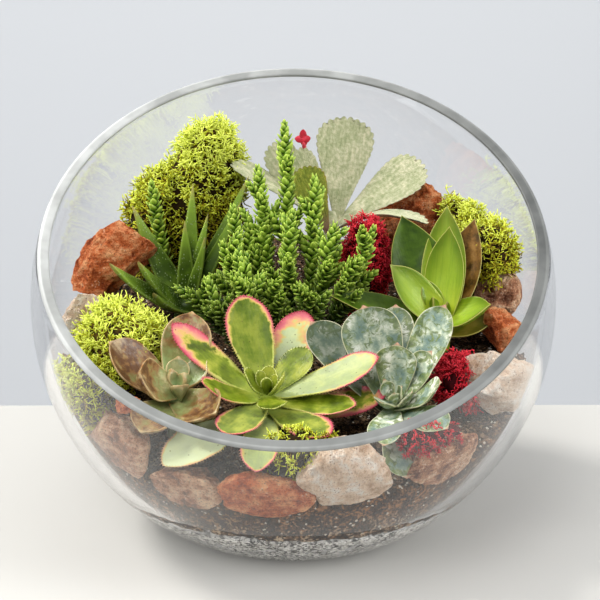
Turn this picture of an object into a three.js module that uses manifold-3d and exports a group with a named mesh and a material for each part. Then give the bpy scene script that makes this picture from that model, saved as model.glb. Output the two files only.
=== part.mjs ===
// Slant-cut glass bowl planted with succulents, moss and stones. Millimetres, +Z up.
// The origin is the centre of the flat underside, and the rim dips towards -Y, the front.
import * as THREE from 'three';
import { mergeVertices } from 'three/addons/utils/BufferGeometryUtils.js';
import Module from 'manifold-3d';

const wasm = await Module();
wasm.setup();

// Driving dimensions
const BOWL_RADIUS = 102;
const WALL = 4.2;
const BALL_HEIGHT = 89.3; // centre of the ball above the surface that the bowl stands on
const FLOOR_THICKNESS = 4.5;
const FOOT_BEVEL = 1.6; // degrees of arc flattened where the wall meets the floor
const RIM_TILT = 31.6; // degrees from level
const RIM_OFFSET = 32.8; // from the ball's centre to the rim's plane
const GAP = 0.3; // clearance between pieces that touch
const GRIT_TOP = 21.5;
const SOIL_LEVEL = 66; // height of the soil over the origin
const SOIL_SLOPE = 0.22; // rise towards the back
const SOIL_FRONT_FALL = 0.0014; // extra fall in front of the middle, per square millimetre
const SOIL_LUMP = 0.9; // height of the low waves on the soil
const GRIT_LUMP = 0.8;
const LEAF_START = 0.06; // share of the way from the stem to the tip where a parted leaf begins
const LEAF_TIP_TAPER = 0.55; // share of a leaf's thickness that is gone by its tip
const LEAF_UPPER_SHARE = 0.6; // how far the upper side bulges, against the underside
const CHAIN_RADIUS = 3.4; // of a watch-chain shoot with its scale leaves, at the foot
const CHAIN_TIP_RADIUS = 2.6;

// Facets
const BOWL_SEGMENTS = 44;
const BOWL_STEPS = 12;
const TERRAIN_CELLS = 10;
const LEAF_AROUND = 6;
const LEAF_ALONG = 6;
const STEM_AROUND = 6;
const STEM_ALONG = 5;
const STONE_DETAIL = 2;
const MOSS_DETAIL = 1;
const STONE_FACES = 13;
const WELD = 1e-4;
const ON_AXIS = 1e-6;

const UP = new THREE.Vector3(0, 0, 1);
const degrees = THREE.MathUtils.degToRad;
const point = ([x, y, z]) => new THREE.Vector3(x, y, z);

// ---------------------------------------------------------------- solids

function toSolid(geometry) {
  const bare = new THREE.BufferGeometry();
  bare.setAttribute('position', geometry.getAttribute('position'));
  bare.setIndex(geometry.getIndex());
  const welded = mergeVertices(bare, WELD);
  const corners = welded.index.array;
  const triVerts = [];
  for (let i = 0; i < corners.length; i += 3) {
    const [a, b, c] = corners.slice(i, i + 3);
    if (a !== b && b !== c && c !== a) triVerts.push(a, b, c);
  }
  return new wasm.Manifold(new wasm.Mesh({
    numProp: 3,
    vertProperties: Float32Array.from(welded.getAttribute('position').array),
    triVerts: Uint32Array.from(triVerts),
  }));
}

function toGeometry(solid) {
  const { vertProperties, triVerts } = solid.getMesh();
  const geometry = new THREE.BufferGeometry();
  geometry.setAttribute('position', new THREE.BufferAttribute(Float32Array.from(vertProperties), 3));
  geometry.setIndex(new THREE.BufferAttribute(Uint32Array.from(triVerts), 1));
  geometry.computeVertexNormals();
  return geometry;
}

function join(solids) {
  return solids.reduce((whole, solid) => whole.add(solid));
}

function largestBody(solid) {
  return solid.decompose().reduce((best, body) => (body.volume() > best.volume() ? body : best));
}

function bend(geometry, place) {
  // Moves every vertex of a geometry to the point that place(vertex) gives.
  const position = geometry.getAttribute('position');
  const vertex = new THREE.Vector3();
  for (let i = 0; i < position.count; i += 1) {
    vertex.fromBufferAttribute(position, i);
    const moved = place(vertex.clone());
    position.setXYZ(i, moved.x, moved.y, moved.z);
  }
  return geometry;
}

function seededRandom(seed) {
  // Repeatable numbers between 0 and 1, from a linear congruential generator.
  let state = seed * 7919 + 12345;
  return () => {
    state = (state * 16807) % 2147483647;
    return state / 2147483647;
  };
}

// ---------------------------------------------------------------- bowl

function ball(radius, floor) {
  // A ball with a flat floor, as a solid of revolution about Z.
  const lowest = -Math.asin((BALL_HEIGHT - floor) / radius);
  const start = lowest + degrees(FOOT_BEVEL);
  const outline = [new THREE.Vector2(0, floor)];
  outline.push(new THREE.Vector2(radius * Math.cos(lowest) - radius * degrees(FOOT_BEVEL), floor));
  for (let i = 0; i < BOWL_STEPS; i += 1) {
    const angle = start + (i / BOWL_STEPS) * (Math.PI / 2 - start);
    outline.push(new THREE.Vector2(radius * Math.cos(angle), BALL_HEIGHT + radius * Math.sin(angle)));
  }
  outline.push(new THREE.Vector2(0, BALL_HEIGHT + radius));
  const geometry = new THREE.LatheGeometry(outline, BOWL_SEGMENTS);
  return toSolid(geometry.rotateX(Math.PI / 2));
}

function aboveRim() {
  // Everything on the far side of the slanting plane that the rim is cut along.
  const size = 4 * BOWL_RADIUS;
  const block = new THREE.BoxGeometry(size, size, size);
  block.translate(0, 0, size / 2 + RIM_OFFSET);
  block.rotateX(degrees(RIM_TILT));
  return toSolid(block.translate(0, 0, BALL_HEIGHT));
}

function glassBowl() {
  const shell = ball(BOWL_RADIUS, 0).subtract(ball(BOWL_RADIUS - WALL, FLOOR_THICKNESS));
  return shell.subtract(aboveRim());
}

const inside = ball(BOWL_RADIUS - WALL - GAP, FLOOR_THICKNESS + GAP);

// ---------------------------------------------------------------- soil and grit

function soilHeight(x, y) {
  const fall = SOIL_FRONT_FALL * Math.min(y, 0) ** 2;
  const lumps = SOIL_LUMP * Math.sin(x / 13 + 1) * Math.cos(y / 11);
  return SOIL_LEVEL + SOIL_SLOPE * y - fall + lumps;
}

function gritHeight(x, y) {
  return GRIT_TOP + GRIT_LUMP * Math.sin(x / 17) * Math.cos(y / 19 + 1);
}

function terrain(height, lift) {
  // A block that reaches from below the floor up to height(x, y), raised by lift.
  const size = 2.1 * BOWL_RADIUS;
  const bottom = -20;
  const geometry = new THREE.BoxGeometry(size, size, 2, TERRAIN_CELLS, TERRAIN_CELLS, 1);
  return toSolid(bend(geometry, (vertex) => {
    vertex.z = vertex.z > 0 ? height(vertex.x, vertex.y) + lift : bottom;
    return vertex;
  }));
}

// ---------------------------------------------------------------- stones and moss

// at: centre. half: half sizes along X, Y and Z. turn: degrees about X, Y and Z.
const STONES = [
  {
    name: 'stone_red_back_left', at: [-75.5, 25, 97], half: [23.5, 12, 15], turn: [0, -39, 30],
    seed: 3, colour: 0xa8563a,
  },
  {
    name: 'stone_cream_left', at: [-80, 2, 79], half: [12, 9, 14.5], turn: [0, 0, 10],
    seed: 5, colour: 0xe8d3c2,
  },
  {
    name: 'stone_red_back_right', at: [50, 62, 100.5], half: [22, 12, 23], turn: [0, 22, -8],
    seed: 8, colour: 0xb4512f,
  },
  {
    name: 'stone_brown_right', at: [83, 30, 83], half: [11, 12, 13], turn: [0, 0, 20],
    seed: 11, colour: 0xb5714f,
  },
  {
    name: 'stone_orange_right', at: [82, 6, 75], half: [10, 12, 10], turn: [0, 0, -20],
    seed: 13, colour: 0xc06a3c,
  },
  {
    name: 'stone_cream_right', at: [77, -36, 69], half: [13.5, 13, 13], turn: [10, -12, 40],
    seed: 17, colour: 0xe3c3ac,
  },
  {
    name: 'stone_brown_front_left', at: [-61, -60, 54], half: [17, 9, 13.5], turn: [0, 0, -45],
    seed: 19, colour: 0x9b7258,
  },
  {
    name: 'stone_pink_front_left', at: [-38, -74, 42], half: [16.5, 10, 10.5], turn: [0, 8, -28],
    seed: 23, colour: 0xa9775f,
  },
  {
    name: 'stone_red_front', at: [-11, -81, 42], half: [20.5, 9, 9], turn: [0, 4, -9],
    seed: 29, colour: 0xa4573c,
  },
  {
    name: 'stone_cream_front', at: [18.5, -81, 49.5], half: [18, 9, 13.5], turn: [0, -14, 13],
    seed: 31, colour: 0xe2c2a6,
  },
  {
    name: 'stone_tan_front_right', at: [53, -67, 51], half: [19, 9, 11], turn: [0, -25, 38],
    seed: 37, colour: 0xc98e63,
  },
  {
    name: 'pebble_terracotta', at: [-60, -63, 70.4], half: [4.6, 4, 4.2], turn: [0, 0, 15],
    seed: 41, colour: 0xbf6b44,
  },
];

// Each cushion of moss is one or more lobes grown together.
const MOSSES = [
  {
    name: 'moss_back_left', seed: 2, colour: 0xa9b42f,
    lobes: [
      { at: [-37, 58, 115], half: [18, 18, 39], turn: [0, 6, 0] },
      { at: [-53.5, 57, 105.5], half: [17, 15, 30], turn: [0, 14, 0] },
    ],
  },
  {
    name: 'moss_left', seed: 4, colour: 0xb9c83a,
    lobes: [
      { at: [-66, -17, 76], half: [18, 25, 19], turn: [8, 0, 0] },
      { at: [-78, -46, 68], half: [13, 16, 14], turn: [0, 0, -40] },
    ],
  },
  {
    name: 'moss_right_back', seed: 8, colour: 0xb4bf36,
    lobes: [
      { at: [79, 33, 99], half: [13, 17, 16], turn: [0, 0, 20] },
      { at: [73, 51, 95], half: [15, 15, 23], turn: [0, 0, 0] },
      { at: [65, 56, 103], half: [8, 9, 14], turn: [0, 0, 0] },
    ],
  },
  {
    name: 'moss_front', seed: 10, colour: 0x9aa53a,
    lobes: [{ at: [5, -74, 53], half: [17, 11, 14], turn: [0, 0, 0] }],
  },
  {
    name: 'red_moss_centre', seed: 12, colour: 0x8c1022,
    lobes: [{ at: [29, 29, 94], half: [12, 13, 24], turn: [0, 0, 0] }],
  },
  {
    name: 'red_moss_right', seed: 14, colour: 0x96142a,
    lobes: [{ at: [64, -33, 67], half: [13, 17, 12], turn: [0, 0, -20] }],
  },
  {
    name: 'red_moss_front', seed: 16, colour: 0xa02c2a,
    lobes: [{ at: [49, -69, 60], half: [13, 9, 8], turn: [0, 0, 30] }],
  },
];

function settle(geometry, { at, half, turn }, grow) {
  // Stretches a unit lump to its half sizes, grows it, and turns it about its centre.
  const rotation = new THREE.Euler(...turn.map(degrees));
  return toSolid(bend(geometry, (vertex) => {
    const outward = vertex.clone().multiply(point(half));
    outward.setLength(outward.length() + grow);
    return outward.applyEuler(rotation).add(point(at));
  }));
}

function stone(shape, grow) {
  // A broken rock: a unit ball cut back to flat faces, spread round it in a spiral from top to foot.
  const spiralStep = 2.4; // radians
  const nearest = 0.74;
  const corner = 1.12;
  const edgeOn = 0.1;
  const random = seededRandom(shape.seed);
  const faces = [];
  for (let i = 0; i < STONE_FACES; i += 1) {
    const z = 1 - (2 * i + 1) / STONE_FACES;
    const around = i * spiralStep + random();
    const flat = Math.sqrt(1 - z * z);
    const normal = new THREE.Vector3(flat * Math.cos(around), flat * Math.sin(around), z);
    faces.push({ normal, distance: nearest + (1 - nearest) * random() });
  }
  const geometry = new THREE.IcosahedronGeometry(1, STONE_DETAIL);
  return settle(bend(geometry, (vertex) => {
    let reach = corner;
    for (const { normal, distance } of faces) {
      const towards = normal.dot(vertex);
      if (towards > edgeOn) reach = Math.min(reach, distance / towards);
    }
    return vertex.multiplyScalar(reach);
  }), shape, grow);
}

function moss({ lobes, seed }, grow) {
  // Soft mounds whose surface swells and sinks in rounded tufts.
  const fullness = 0.94;
  const swellHeight = 0.09;
  const tuftHeight = 0.05;
  return join(lobes.map((lobe) => {
    const geometry = bend(new THREE.IcosahedronGeometry(1, MOSS_DETAIL), (vertex) => {
      const swell = Math.sin(3.1 * vertex.x + seed) * Math.sin(2.7 * vertex.y + 2 * seed);
      const tuft = Math.sin(5.3 * vertex.z + seed) * Math.cos(4.1 * vertex.x - seed);
      return vertex.multiplyScalar(fullness + swellHeight * swell + tuftHeight * tuft);
    });
    return settle(geometry, lobe, grow);
  }));
}

// ---------------------------------------------------------------- leaves and stems

// How a leaf's width runs from its base to its tip: waist narrows the base, lift sets how fast it
// widens, and blunt and point set how it closes.
const LEAF_FORMS = {
  spoon: { waist: 0.16, lift: 0.9, blunt: 4.2, point: 0.7 },
  egg: { waist: 0.3, lift: 0.75, blunt: 3.6, point: 0.62 },
  paddle: { waist: 0.35, lift: 0.9, blunt: 6, point: 0.55 },
  lance: { waist: 0.4, lift: 0.7, blunt: 2.3, point: 0.95 },
  fan: { waist: 0.16, lift: 1.2, blunt: 6, point: 0.55 },
  spike: { waist: 1.2, lift: 0.5, blunt: 1.4, point: 0.95 },
};

function widthAt(form, t) {
  const { waist, lift, blunt, point: sharpness } = LEAF_FORMS[form];
  return ((t + waist) / (1 + waist)) ** lift * (1 - t ** blunt) ** sharpness;
}

function widest(form) {
  let most = 0;
  for (let t = 0; t < 1; t += 0.02) most = Math.max(most, widthAt(form, t));
  return most;
}

function leaf({ base, tip, width, thick, bow, cup, face, form }, grow) {
  // A blade moulded from a ball: its poles are the base and the tip, and it bows away from its face.
  const from = point(base);
  const chord = point(tip).sub(from);
  const along = chord.clone().normalize();
  const normal = point(face).projectOnPlane(along).normalize();
  const side = new THREE.Vector3().crossVectors(along, normal);
  const scale = width / 2 / widest(form);
  const geometry = new THREE.SphereGeometry(1, LEAF_AROUND, LEAF_ALONG);
  return toSolid(bend(geometry, (vertex) => {
    const t = (1 + vertex.y) / 2;
    const ring = Math.hypot(vertex.x, vertex.z);
    const across = ring > ON_AXIS ? vertex.x / ring : 0;
    const through = ring > ON_AXIS ? vertex.z / ring : 0;
    const halfWidth = scale * widthAt(form, t) + grow;
    const bulge = (thick / 2) * (1 - LEAF_TIP_TAPER * t * t);
    const halfThick = bulge * (through < 0 ? 1 : LEAF_UPPER_SHARE) + grow;
    const tangent = chord.clone().addScaledVector(normal, -4 * bow * (1 - 2 * t)).normalize();
    const upper = normal.clone().projectOnPlane(tangent).normalize();
    const spine = from.clone().addScaledVector(chord, t).addScaledVector(normal, -4 * bow * t * (1 - t));
    if (ring <= ON_AXIS) spine.addScaledVector(along, t < 0.5 ? -grow : grow);
    return spine
      .addScaledVector(side, across * halfWidth)
      .addScaledVector(upper, through * halfThick + cup * halfWidth * across * across);
  }));
}

function stem({ foot, top, lean = [0, 0, 0], radius, tipRadius = radius }, grow) {
  // A tapering shoot with round ends, along a curve that leans aside halfway.
  const middle = point(foot).lerp(point(top), 0.5).add(point(lean));
  const route = new THREE.QuadraticBezierCurve3(point(foot), middle, point(top));
  const geometry = new THREE.SphereGeometry(1, STEM_AROUND, STEM_ALONG);
  return toSolid(bend(geometry, (vertex) => {
    const t = (1 + vertex.y) / 2;
    const ring = Math.hypot(vertex.x, vertex.z);
    const spine = route.getPoint(t);
    const tangent = route.getTangent(t);
    const reference = Math.abs(tangent.z) > 0.9 ? new THREE.Vector3(1, 0, 0) : UP;
    const side = new THREE.Vector3().crossVectors(tangent, reference).normalize();
    const other = new THREE.Vector3().crossVectors(side, tangent);
    if (ring <= ON_AXIS) return spine.addScaledVector(tangent, t < 0.5 ? -grow : grow);
    const girth = (THREE.MathUtils.lerp(radius, tipRadius, t) + grow) / ring;
    return spine.addScaledVector(side, vertex.x * girth).addScaledVector(other, vertex.z * girth);
  }));
}

// ---------------------------------------------------------------- rosette plants

// centre: where the leaves meet. foot: where the stem enters the soil. axis: the way it faces.
// Leaves run from the inner ones outwards. drop lowers a leaf's base down the stem.
const ROSETTES = [
  {
    name: 'aeonium', centre: [-10, -46, 67], foot: [-9, -44, 46], axis: [0, -0.35, 0.94],
    stemRadius: 4.2, form: 'spoon', thick: 2.6, cup: 0.12, colour: 0x8ca83a, heartColour: 0xa8c04a,
    heart: [
      { tip: [5.8, -34, 80.7], width: 13, bow: 1 },
      { tip: [-7, -63, 68], width: 11, bow: 1 },
      { tip: [-18, -50, 78], width: 9, bow: 1 },
      { tip: [-4, -52, 77], width: 8, bow: 1 },
      { tip: [-33.5, -60, 77], width: 13, bow: 2.5, drop: 1.5 },
      { tip: [23, -58, 67.5], width: 12, bow: 1.5, drop: 2 },
      { tip: [-25, -78, 64], width: 15, bow: 0.5, drop: 2.5 },
    ],
    leaves: [
      { tip: [-19.5, -22, 98], width: 18, bow: 1.5, drop: 1 },
      { tip: [31.5, -48, 82.5], width: 16, bow: 2.5, drop: 1 },
      { tip: [-45.5, -35, 91], width: 14, bow: 2, drop: 3 },
      { tip: [4, -16, 90], width: 17, bow: 2, drop: 4 },
      { tip: [12.5, -77, 62.5], width: 15, bow: 0.5, drop: 5 },
      { tip: [34, -50, 68], width: 16, bow: 2, drop: 7 },
      { tip: [-13, -86, 54], width: 14, bow: -2, drop: 7 },
      { tip: [-46, -77, 52.5], width: 18, bow: -3, drop: 10 },
    ],
  },
  {
    name: 'blue_echeveria', centre: [37, -50, 65], foot: [37, -49, 46], axis: [-0.1, -0.42, 0.9],
    stemRadius: 4.4, form: 'paddle', thick: 3, cup: 0.2, colour: 0x9fb3ae, heartColour: 0xa9bcb4,
    heart: [
      { tip: [38.5, -45, 86], width: 16, bow: 2 },
      { tip: [43, -58, 72], width: 9, bow: 1.5 },
      { tip: [32, -60, 69], width: 9, bow: 1 },
      { tip: [50.5, -48, 84], width: 12, bow: 2, drop: 1 },
      { tip: [53.5, -62, 77], width: 12, bow: 2, drop: 2 },
      { tip: [32, -77, 60], width: 13, bow: -1, drop: 3 },
    ],
    leaves: [
      { tip: [26.5, -29.5, 95.5], width: 23, bow: 3, drop: 1 },
      { tip: [56.5, -33, 97], width: 16, bow: 3, drop: 3.5 },
      { tip: [39, -21, 93], width: 15, bow: 2, drop: 5 },
      { tip: [40, -76.5, 48], width: 14, bow: -3, drop: 4 },
      { tip: [7, -26, 88], width: 17, bow: 2, drop: 4 },
      { tip: [54, -73, 65], width: 14, bow: -2, drop: 7 },
    ],
  },
  {
    name: 'green_echeveria', centre: [58, 5, 81], foot: [58, 7, 64], axis: [-0.15, -0.4, 0.9],
    stemRadius: 4.2, form: 'lance', thick: 3, cup: 0.22, colour: 0x86ad34, heartColour: 0x9cc23c,
    heart: [
      { tip: [61.5, 15, 114], width: 16, bow: 2 },
      { tip: [51, 6, 96], width: 9, bow: 1 },
      { tip: [75, -6, 89], width: 13, bow: 2, drop: 1 },
    ],
    leaves: [
      { tip: [38, -3, 104], width: 15, bow: 2.5, drop: 1, face: [0.5, -0.8, 0.35] },
      { tip: [43.5, 28, 115], width: 23, bow: 4, drop: 2 },
      { tip: [61.5, 29, 118.5], width: 18, bow: 3, drop: 3.5 },
      { tip: [72, 23, 115], width: 18, bow: 4, drop: 4 },
      { tip: [79, 2, 80], width: 15, bow: 1, drop: 6 },
      { tip: [15, -4, 92], width: 16, bow: 0, drop: 6 },
    ],
  },
  {
    name: 'brown_echeveria', centre: [-43.5, -48, 70], foot: [-43, -46, 49], axis: [0.1, -0.32, 0.94],
    stemRadius: 4.4, form: 'egg', thick: 3.6, cup: 0.3, colour: 0x8d7a58, heartColour: 0x7d9360,
    heart: [
      { tip: [-43, -42, 80], width: 9, bow: 1 },
      { tip: [-33, -41, 78], width: 10, bow: 1.5 },
      { tip: [-41, -56, 74], width: 7, bow: 1 },
    ],
    leaves: [
      { tip: [-56, -61, 81], width: 17, bow: 2.5, drop: 1, face: [0.3, -0.6, 0.7] },
      { tip: [-38.5, -25, 92], width: 19, bow: 3, drop: 1.5 },
      { tip: [-28.5, -70, 69], width: 18, bow: 2, drop: 3.5, face: [0, -0.7, 0.7] },
      { tip: [-68, -45, 87], width: 21, bow: 3.5, drop: 3 },
      { tip: [-54, -73, 64], width: 18, bow: 0, drop: 7 },
    ],
  },
];

function rosetteLeaf(plant, row, grow, reach) {
  // One leaf of a rosette, starting part of the way out from the stem.
  const centre = point(plant.centre);
  centre.z -= row.drop ?? 0;
  const base = centre.lerp(point(row.tip), reach);
  const shape = { face: plant.axis, ...row, base: base.toArray() };
  return leaf({ ...shape, thick: plant.thick, cup: plant.cup, form: plant.form }, grow);
}

function rosetteHeart(plant, grow) {
  // The stem with the young leaves that have not yet parted from it.
  const stalk = { foot: plant.foot, top: plant.centre, radius: plant.stemRadius };
  return join([stem(stalk, grow), ...plant.heart.map((row) => rosetteLeaf(plant, row, grow, 0))]);
}

// ---------------------------------------------------------------- felted kalanchoe

const KALANCHOE_STEM = {
  foot: [17, 43, 70], top: [16, 47, 112], lean: [-2, 0, 0], radius: 3.6, tipRadius: 3,
};
const KALANCHOE_LEAVES = [
  { base: [18, 48, 108], tip: [22, 53, 149.5], width: 23, bow: 1.5, face: [0, -1, 0.2] },
  { base: [18, 46.5, 107], tip: [53, 59, 129], width: 19, bow: 1, face: [-0.5, -0.8, 0.5] },
  { base: [17.5, 45, 105], tip: [54, 37, 109.5], width: 15, bow: -5, face: [0, 0.1, 1] },
  { base: [14, 44, 104], tip: [3.5, 36, 133], width: 15, bow: 1, face: [0.1, -1, 0.1] },
  { base: [12, 49, 107], tip: [-25, 51, 131], width: 13, bow: -2, face: [0.3, 0.2, 1] },
];
const KALANCHOE_YOUNG_LEAVES = [
  { base: [15, 47, 109], tip: [2, 47, 138], width: 10, bow: 1.5, face: [0.2, -1, 0.1] },
  { base: [15, 48, 108], tip: [-9, 58, 137], width: 15, bow: 2, face: [0.4, -1, 0.2] },
];
const KALANCHOE_BUD = {
  stalk: { foot: [9.5, 50.5, 118], top: [4, 51, 141], lean: [-1, 0, 0], radius: 0.9 },
  lobes: [[-3.2, 0, 0.5], [2.8, -1, 1], [0, 0, 4.2], [1, 1, -2.5]],
  lobeRadius: 1.7,
};

function kalanchoeLeaf(row, grow) {
  return leaf({ ...row, thick: 2.2, cup: 0.15, form: 'fan' }, grow);
}

function kalanchoeStem(grow) {
  // The stem with the young leaves that still grow from its tip.
  const young = KALANCHOE_YOUNG_LEAVES.map((row) => kalanchoeLeaf(row, grow));
  return join([stem(KALANCHOE_STEM, grow), ...young]);
}

function kalanchoeBud(grow) {
  const { stalk, lobes, lobeRadius } = KALANCHOE_BUD;
  const petals = lobes.map((offset) => {
    const top = point(stalk.top).add(point(offset)).toArray();
    return stem({ foot: stalk.top, top, radius: lobeRadius }, grow);
  });
  return join([stem(stalk, grow), ...petals]);
}

// ---------------------------------------------------------------- haworthia

const HAWORTHIA_CROWN = { foot: [-43, 29, 70], top: [-43.5, 28, 84], radius: 8, tipRadius: 6 };
const HAWORTHIA_BASE = [-43.5, 28, 77];
const HAWORTHIA_LEAVES = [
  { tip: [-64.5, 35, 117], width: 11, bow: 3 },
  { tip: [-71.5, 9, 101], width: 11, bow: 3 },
  { tip: [-60.5, 11, 101], width: 10, bow: 2 },
  { tip: [-40.5, 39, 125], width: 9, bow: 1 },
  { tip: [-34.5, 34, 114], width: 7, bow: 1 },
  { tip: [-43.5, 29, 112], width: 8, bow: 1 },
  { tip: [-35.5, 23, 107], width: 6, bow: 1.5 },
  { tip: [-18.5, 43, 127], width: 9, bow: 2 },
  { tip: [-21.5, 37, 118], width: 7, bow: 2 },
  { tip: [-55, 12, 88], width: 9, bow: 2 },
];

function haworthia(grow) {
  const blades = HAWORTHIA_LEAVES.map((row) => leaf({
    ...row, base: HAWORTHIA_BASE, face: [0, -0.5, 0.8], thick: 4.4, cup: 0.1, form: 'spike',
  }, grow));
  return join([stem(HAWORTHIA_CROWN, grow), ...blades]);
}

// ---------------------------------------------------------------- watch-chain plant

const CHAIN_CROWN = { foot: [-24, 5, 68], top: [16, 12, 70], radius: 12 };
const CHAIN_SHOOTS = [
  { foot: [-2, 14, 66], top: [-3.5, 37, 150], lean: [1, 2, 4] },
  { foot: [-8, 12, 66], top: [-14, 30, 133.5], lean: [0, 2, 4] },
  { foot: [4, 12, 66], top: [8.5, 29, 130], lean: [3, 0, 4] },
  { foot: [0, 8, 66], top: [-0.5, 16, 119], lean: [-3, 0, 3] },
  { foot: [6, 8, 66], top: [16, 14, 114.5], lean: [0, -2, 3] },
  { foot: [10, 8, 66], top: [31, 8, 115], lean: [2, 0, -4] },
  { foot: [-10, 6, 66], top: [-22.5, 2, 105.5], lean: [2, -2, 2] },
  { foot: [-14, 8, 66], top: [-27.5, 10, 108.5], lean: [-2, 0, 2] },
  { foot: [-6, 2, 66], top: [-9, -6, 97], lean: [0, -3, 1] },
  { foot: [4, 4, 66], top: [4.5, -9, 96], lean: [3, -3, 1] },
  { foot: [10, 6, 66], top: [22, 3, 103.5], lean: [3, -2, 0] },
  { foot: [-18, 4, 66], top: [-40, -3, 93], lean: [-2, -3, 1] },
  { foot: [-18, 2, 66], top: [-30, -16, 92], lean: [0, -4, 1] },
  { foot: [-12, 2, 66], top: [-17, -10, 99], lean: [-3, -3, 0] },
  { foot: [-16, 12, 70], top: [-50, 39, 82], lean: [12, 14, -2] },
  { foot: [-50, 39, 80], top: [-57, 38, 125], lean: [-1, 0, 0] },
];

function watchChain(grow) {
  const girth = { radius: CHAIN_RADIUS, tipRadius: CHAIN_TIP_RADIUS };
  const shoots = CHAIN_SHOOTS.map((row) => stem({ ...row, ...girth }, grow));
  return join([stem(CHAIN_CROWN, grow), ...shoots]);
}

// ---------------------------------------------------------------- assembly

const GLASS = { color: 0xe9f1ee, roughness: 0.05, metalness: 0, transparent: true, opacity: 0.3 };
const terrarium = new THREE.Group();
const placed = [];

function addMesh(name, solid, look) {
  const mesh = new THREE.Mesh(toGeometry(solid), new THREE.MeshStandardMaterial(look));
  mesh.name = name;
  terrarium.add(mesh);
}

function touching(first, second) {
  const a = first.boundingBox();
  const b = second.boundingBox();
  return [0, 1, 2].every((i) => a.min[i] < b.max[i] && b.min[i] < a.max[i]);
}

function cutClear(solid, keepers) {
  return keepers.reduce((rest, keeper) => (touching(rest, keeper) ? rest.subtract(keeper) : rest), solid);
}

function place(name, make, colour, { roughness = 0.6, extra = [] } = {}) {
  // Adds a piece inside the bowl, cut clear of every piece that was placed before it.
  const solid = cutClear(make(0).intersect(inside), [...placed, ...extra]);
  addMesh(name, largestBody(solid), { color: colour, roughness, metalness: 0 });
  placed.push(make(GAP));
}

addMesh('glass_bowl', glassBowl(), GLASS);

for (const shape of STONES) {
  place(shape.name, (grow) => stone(shape, grow), shape.colour, { roughness: 0.9 });
}
for (const plant of ROSETTES) {
  place(`${plant.name}_heart`, (grow) => rosetteHeart(plant, grow), plant.heartColour);
}
place('kalanchoe_stem', kalanchoeStem, 0xa3aa88);
place('haworthia', haworthia, 0x4d7a2c);
place('watch_chain', watchChain, 0x5f9a2f);
const rooted = [...placed];

for (const plant of ROSETTES) {
  plant.leaves.forEach((row, index) => {
    const name = `${plant.name}_leaf_${index + 1}`;
    place(name, (grow) => rosetteLeaf(plant, row, grow, LEAF_START), plant.colour);
  });
}
KALANCHOE_LEAVES.forEach((row, index) => {
  place(`kalanchoe_leaf_${index + 1}`, (grow) => kalanchoeLeaf(row, grow), 0xb4bfa0, { roughness: 0.85 });
});
place('kalanchoe_bud', kalanchoeBud, 0xb01f33);

const soilSurface = terrain(soilHeight, GAP);
for (const shape of MOSSES) {
  place(shape.name, (grow) => moss(shape, grow), shape.colour, { roughness: 1, extra: [soilSurface] });
}

const soil = inside.intersect(terrain(soilHeight, 0)).subtract(terrain(gritHeight, GAP));
addMesh('soil', largestBody(cutClear(soil, rooted)), { color: 0x3a2c22, roughness: 1, metalness: 0 });
const grit = inside.intersect(terrain(gritHeight, 0));
addMesh('grit_layer', largestBody(cutClear(grit, rooted)), { color: 0xb9b6ae, roughness: 1, metalness: 0 });

export default terrarium;
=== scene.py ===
import itertools
import math

import bpy
import numpy as np
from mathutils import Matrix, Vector, noise


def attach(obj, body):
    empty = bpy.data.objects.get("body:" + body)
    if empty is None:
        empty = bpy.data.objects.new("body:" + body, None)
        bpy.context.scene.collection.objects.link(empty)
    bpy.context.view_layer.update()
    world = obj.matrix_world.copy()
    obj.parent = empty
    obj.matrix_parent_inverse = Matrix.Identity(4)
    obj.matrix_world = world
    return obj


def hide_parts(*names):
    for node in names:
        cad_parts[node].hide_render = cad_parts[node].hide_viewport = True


# Looks of a glass bowl planted with succulents, moss and stones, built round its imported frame.
# Shapes are worked out in millimetres and turned into metres as each mesh is made.
# +Z is up and -Y is the front. Nothing moves, so every piece rides on the one body.

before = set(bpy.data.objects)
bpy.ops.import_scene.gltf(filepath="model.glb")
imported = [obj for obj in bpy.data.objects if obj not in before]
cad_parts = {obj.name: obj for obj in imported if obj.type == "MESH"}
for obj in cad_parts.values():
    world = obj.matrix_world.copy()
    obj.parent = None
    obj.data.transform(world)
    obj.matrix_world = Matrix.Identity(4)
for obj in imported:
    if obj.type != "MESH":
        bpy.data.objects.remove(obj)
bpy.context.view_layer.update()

MM = 0.001
BOWL_RADIUS = 102
WALL = 4.2
BALL_HEIGHT = 89.3
FLOOR_THICKNESS = 4.5
FOOT_BEVEL = 1.6  # degrees of the ball
RIM_TILT = 31.6  # degrees
RIM_OFFSET = 32.8  # how far from the ball's centre the cut is
RIM_SOFTENING = 1.2
AIR_GAP = 0.4  # the least gap between the glass and what is planted in it

CENTRE = np.array([0, 0, BALL_HEIGHT])
rng = np.random.default_rng(7)
paints = {}  # materials by name


def show(name, data):
    """An object made of data, put into the scene."""
    made = bpy.data.objects.new(name, data)
    bpy.context.scene.collection.objects.link(made)
    return made


# ---- materials

def rgb(code):
    """A colour such as "8ca83a", as it looks on a screen, in the linear values that nodes use."""
    parts = [int(code[i:i + 2], 16) / 255 for i in (0, 2, 4)]
    return (*[c / 12.92 if c <= 0.04045 else ((c + 0.055) / 1.055) ** 2.4 for c in parts], 1)


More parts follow.
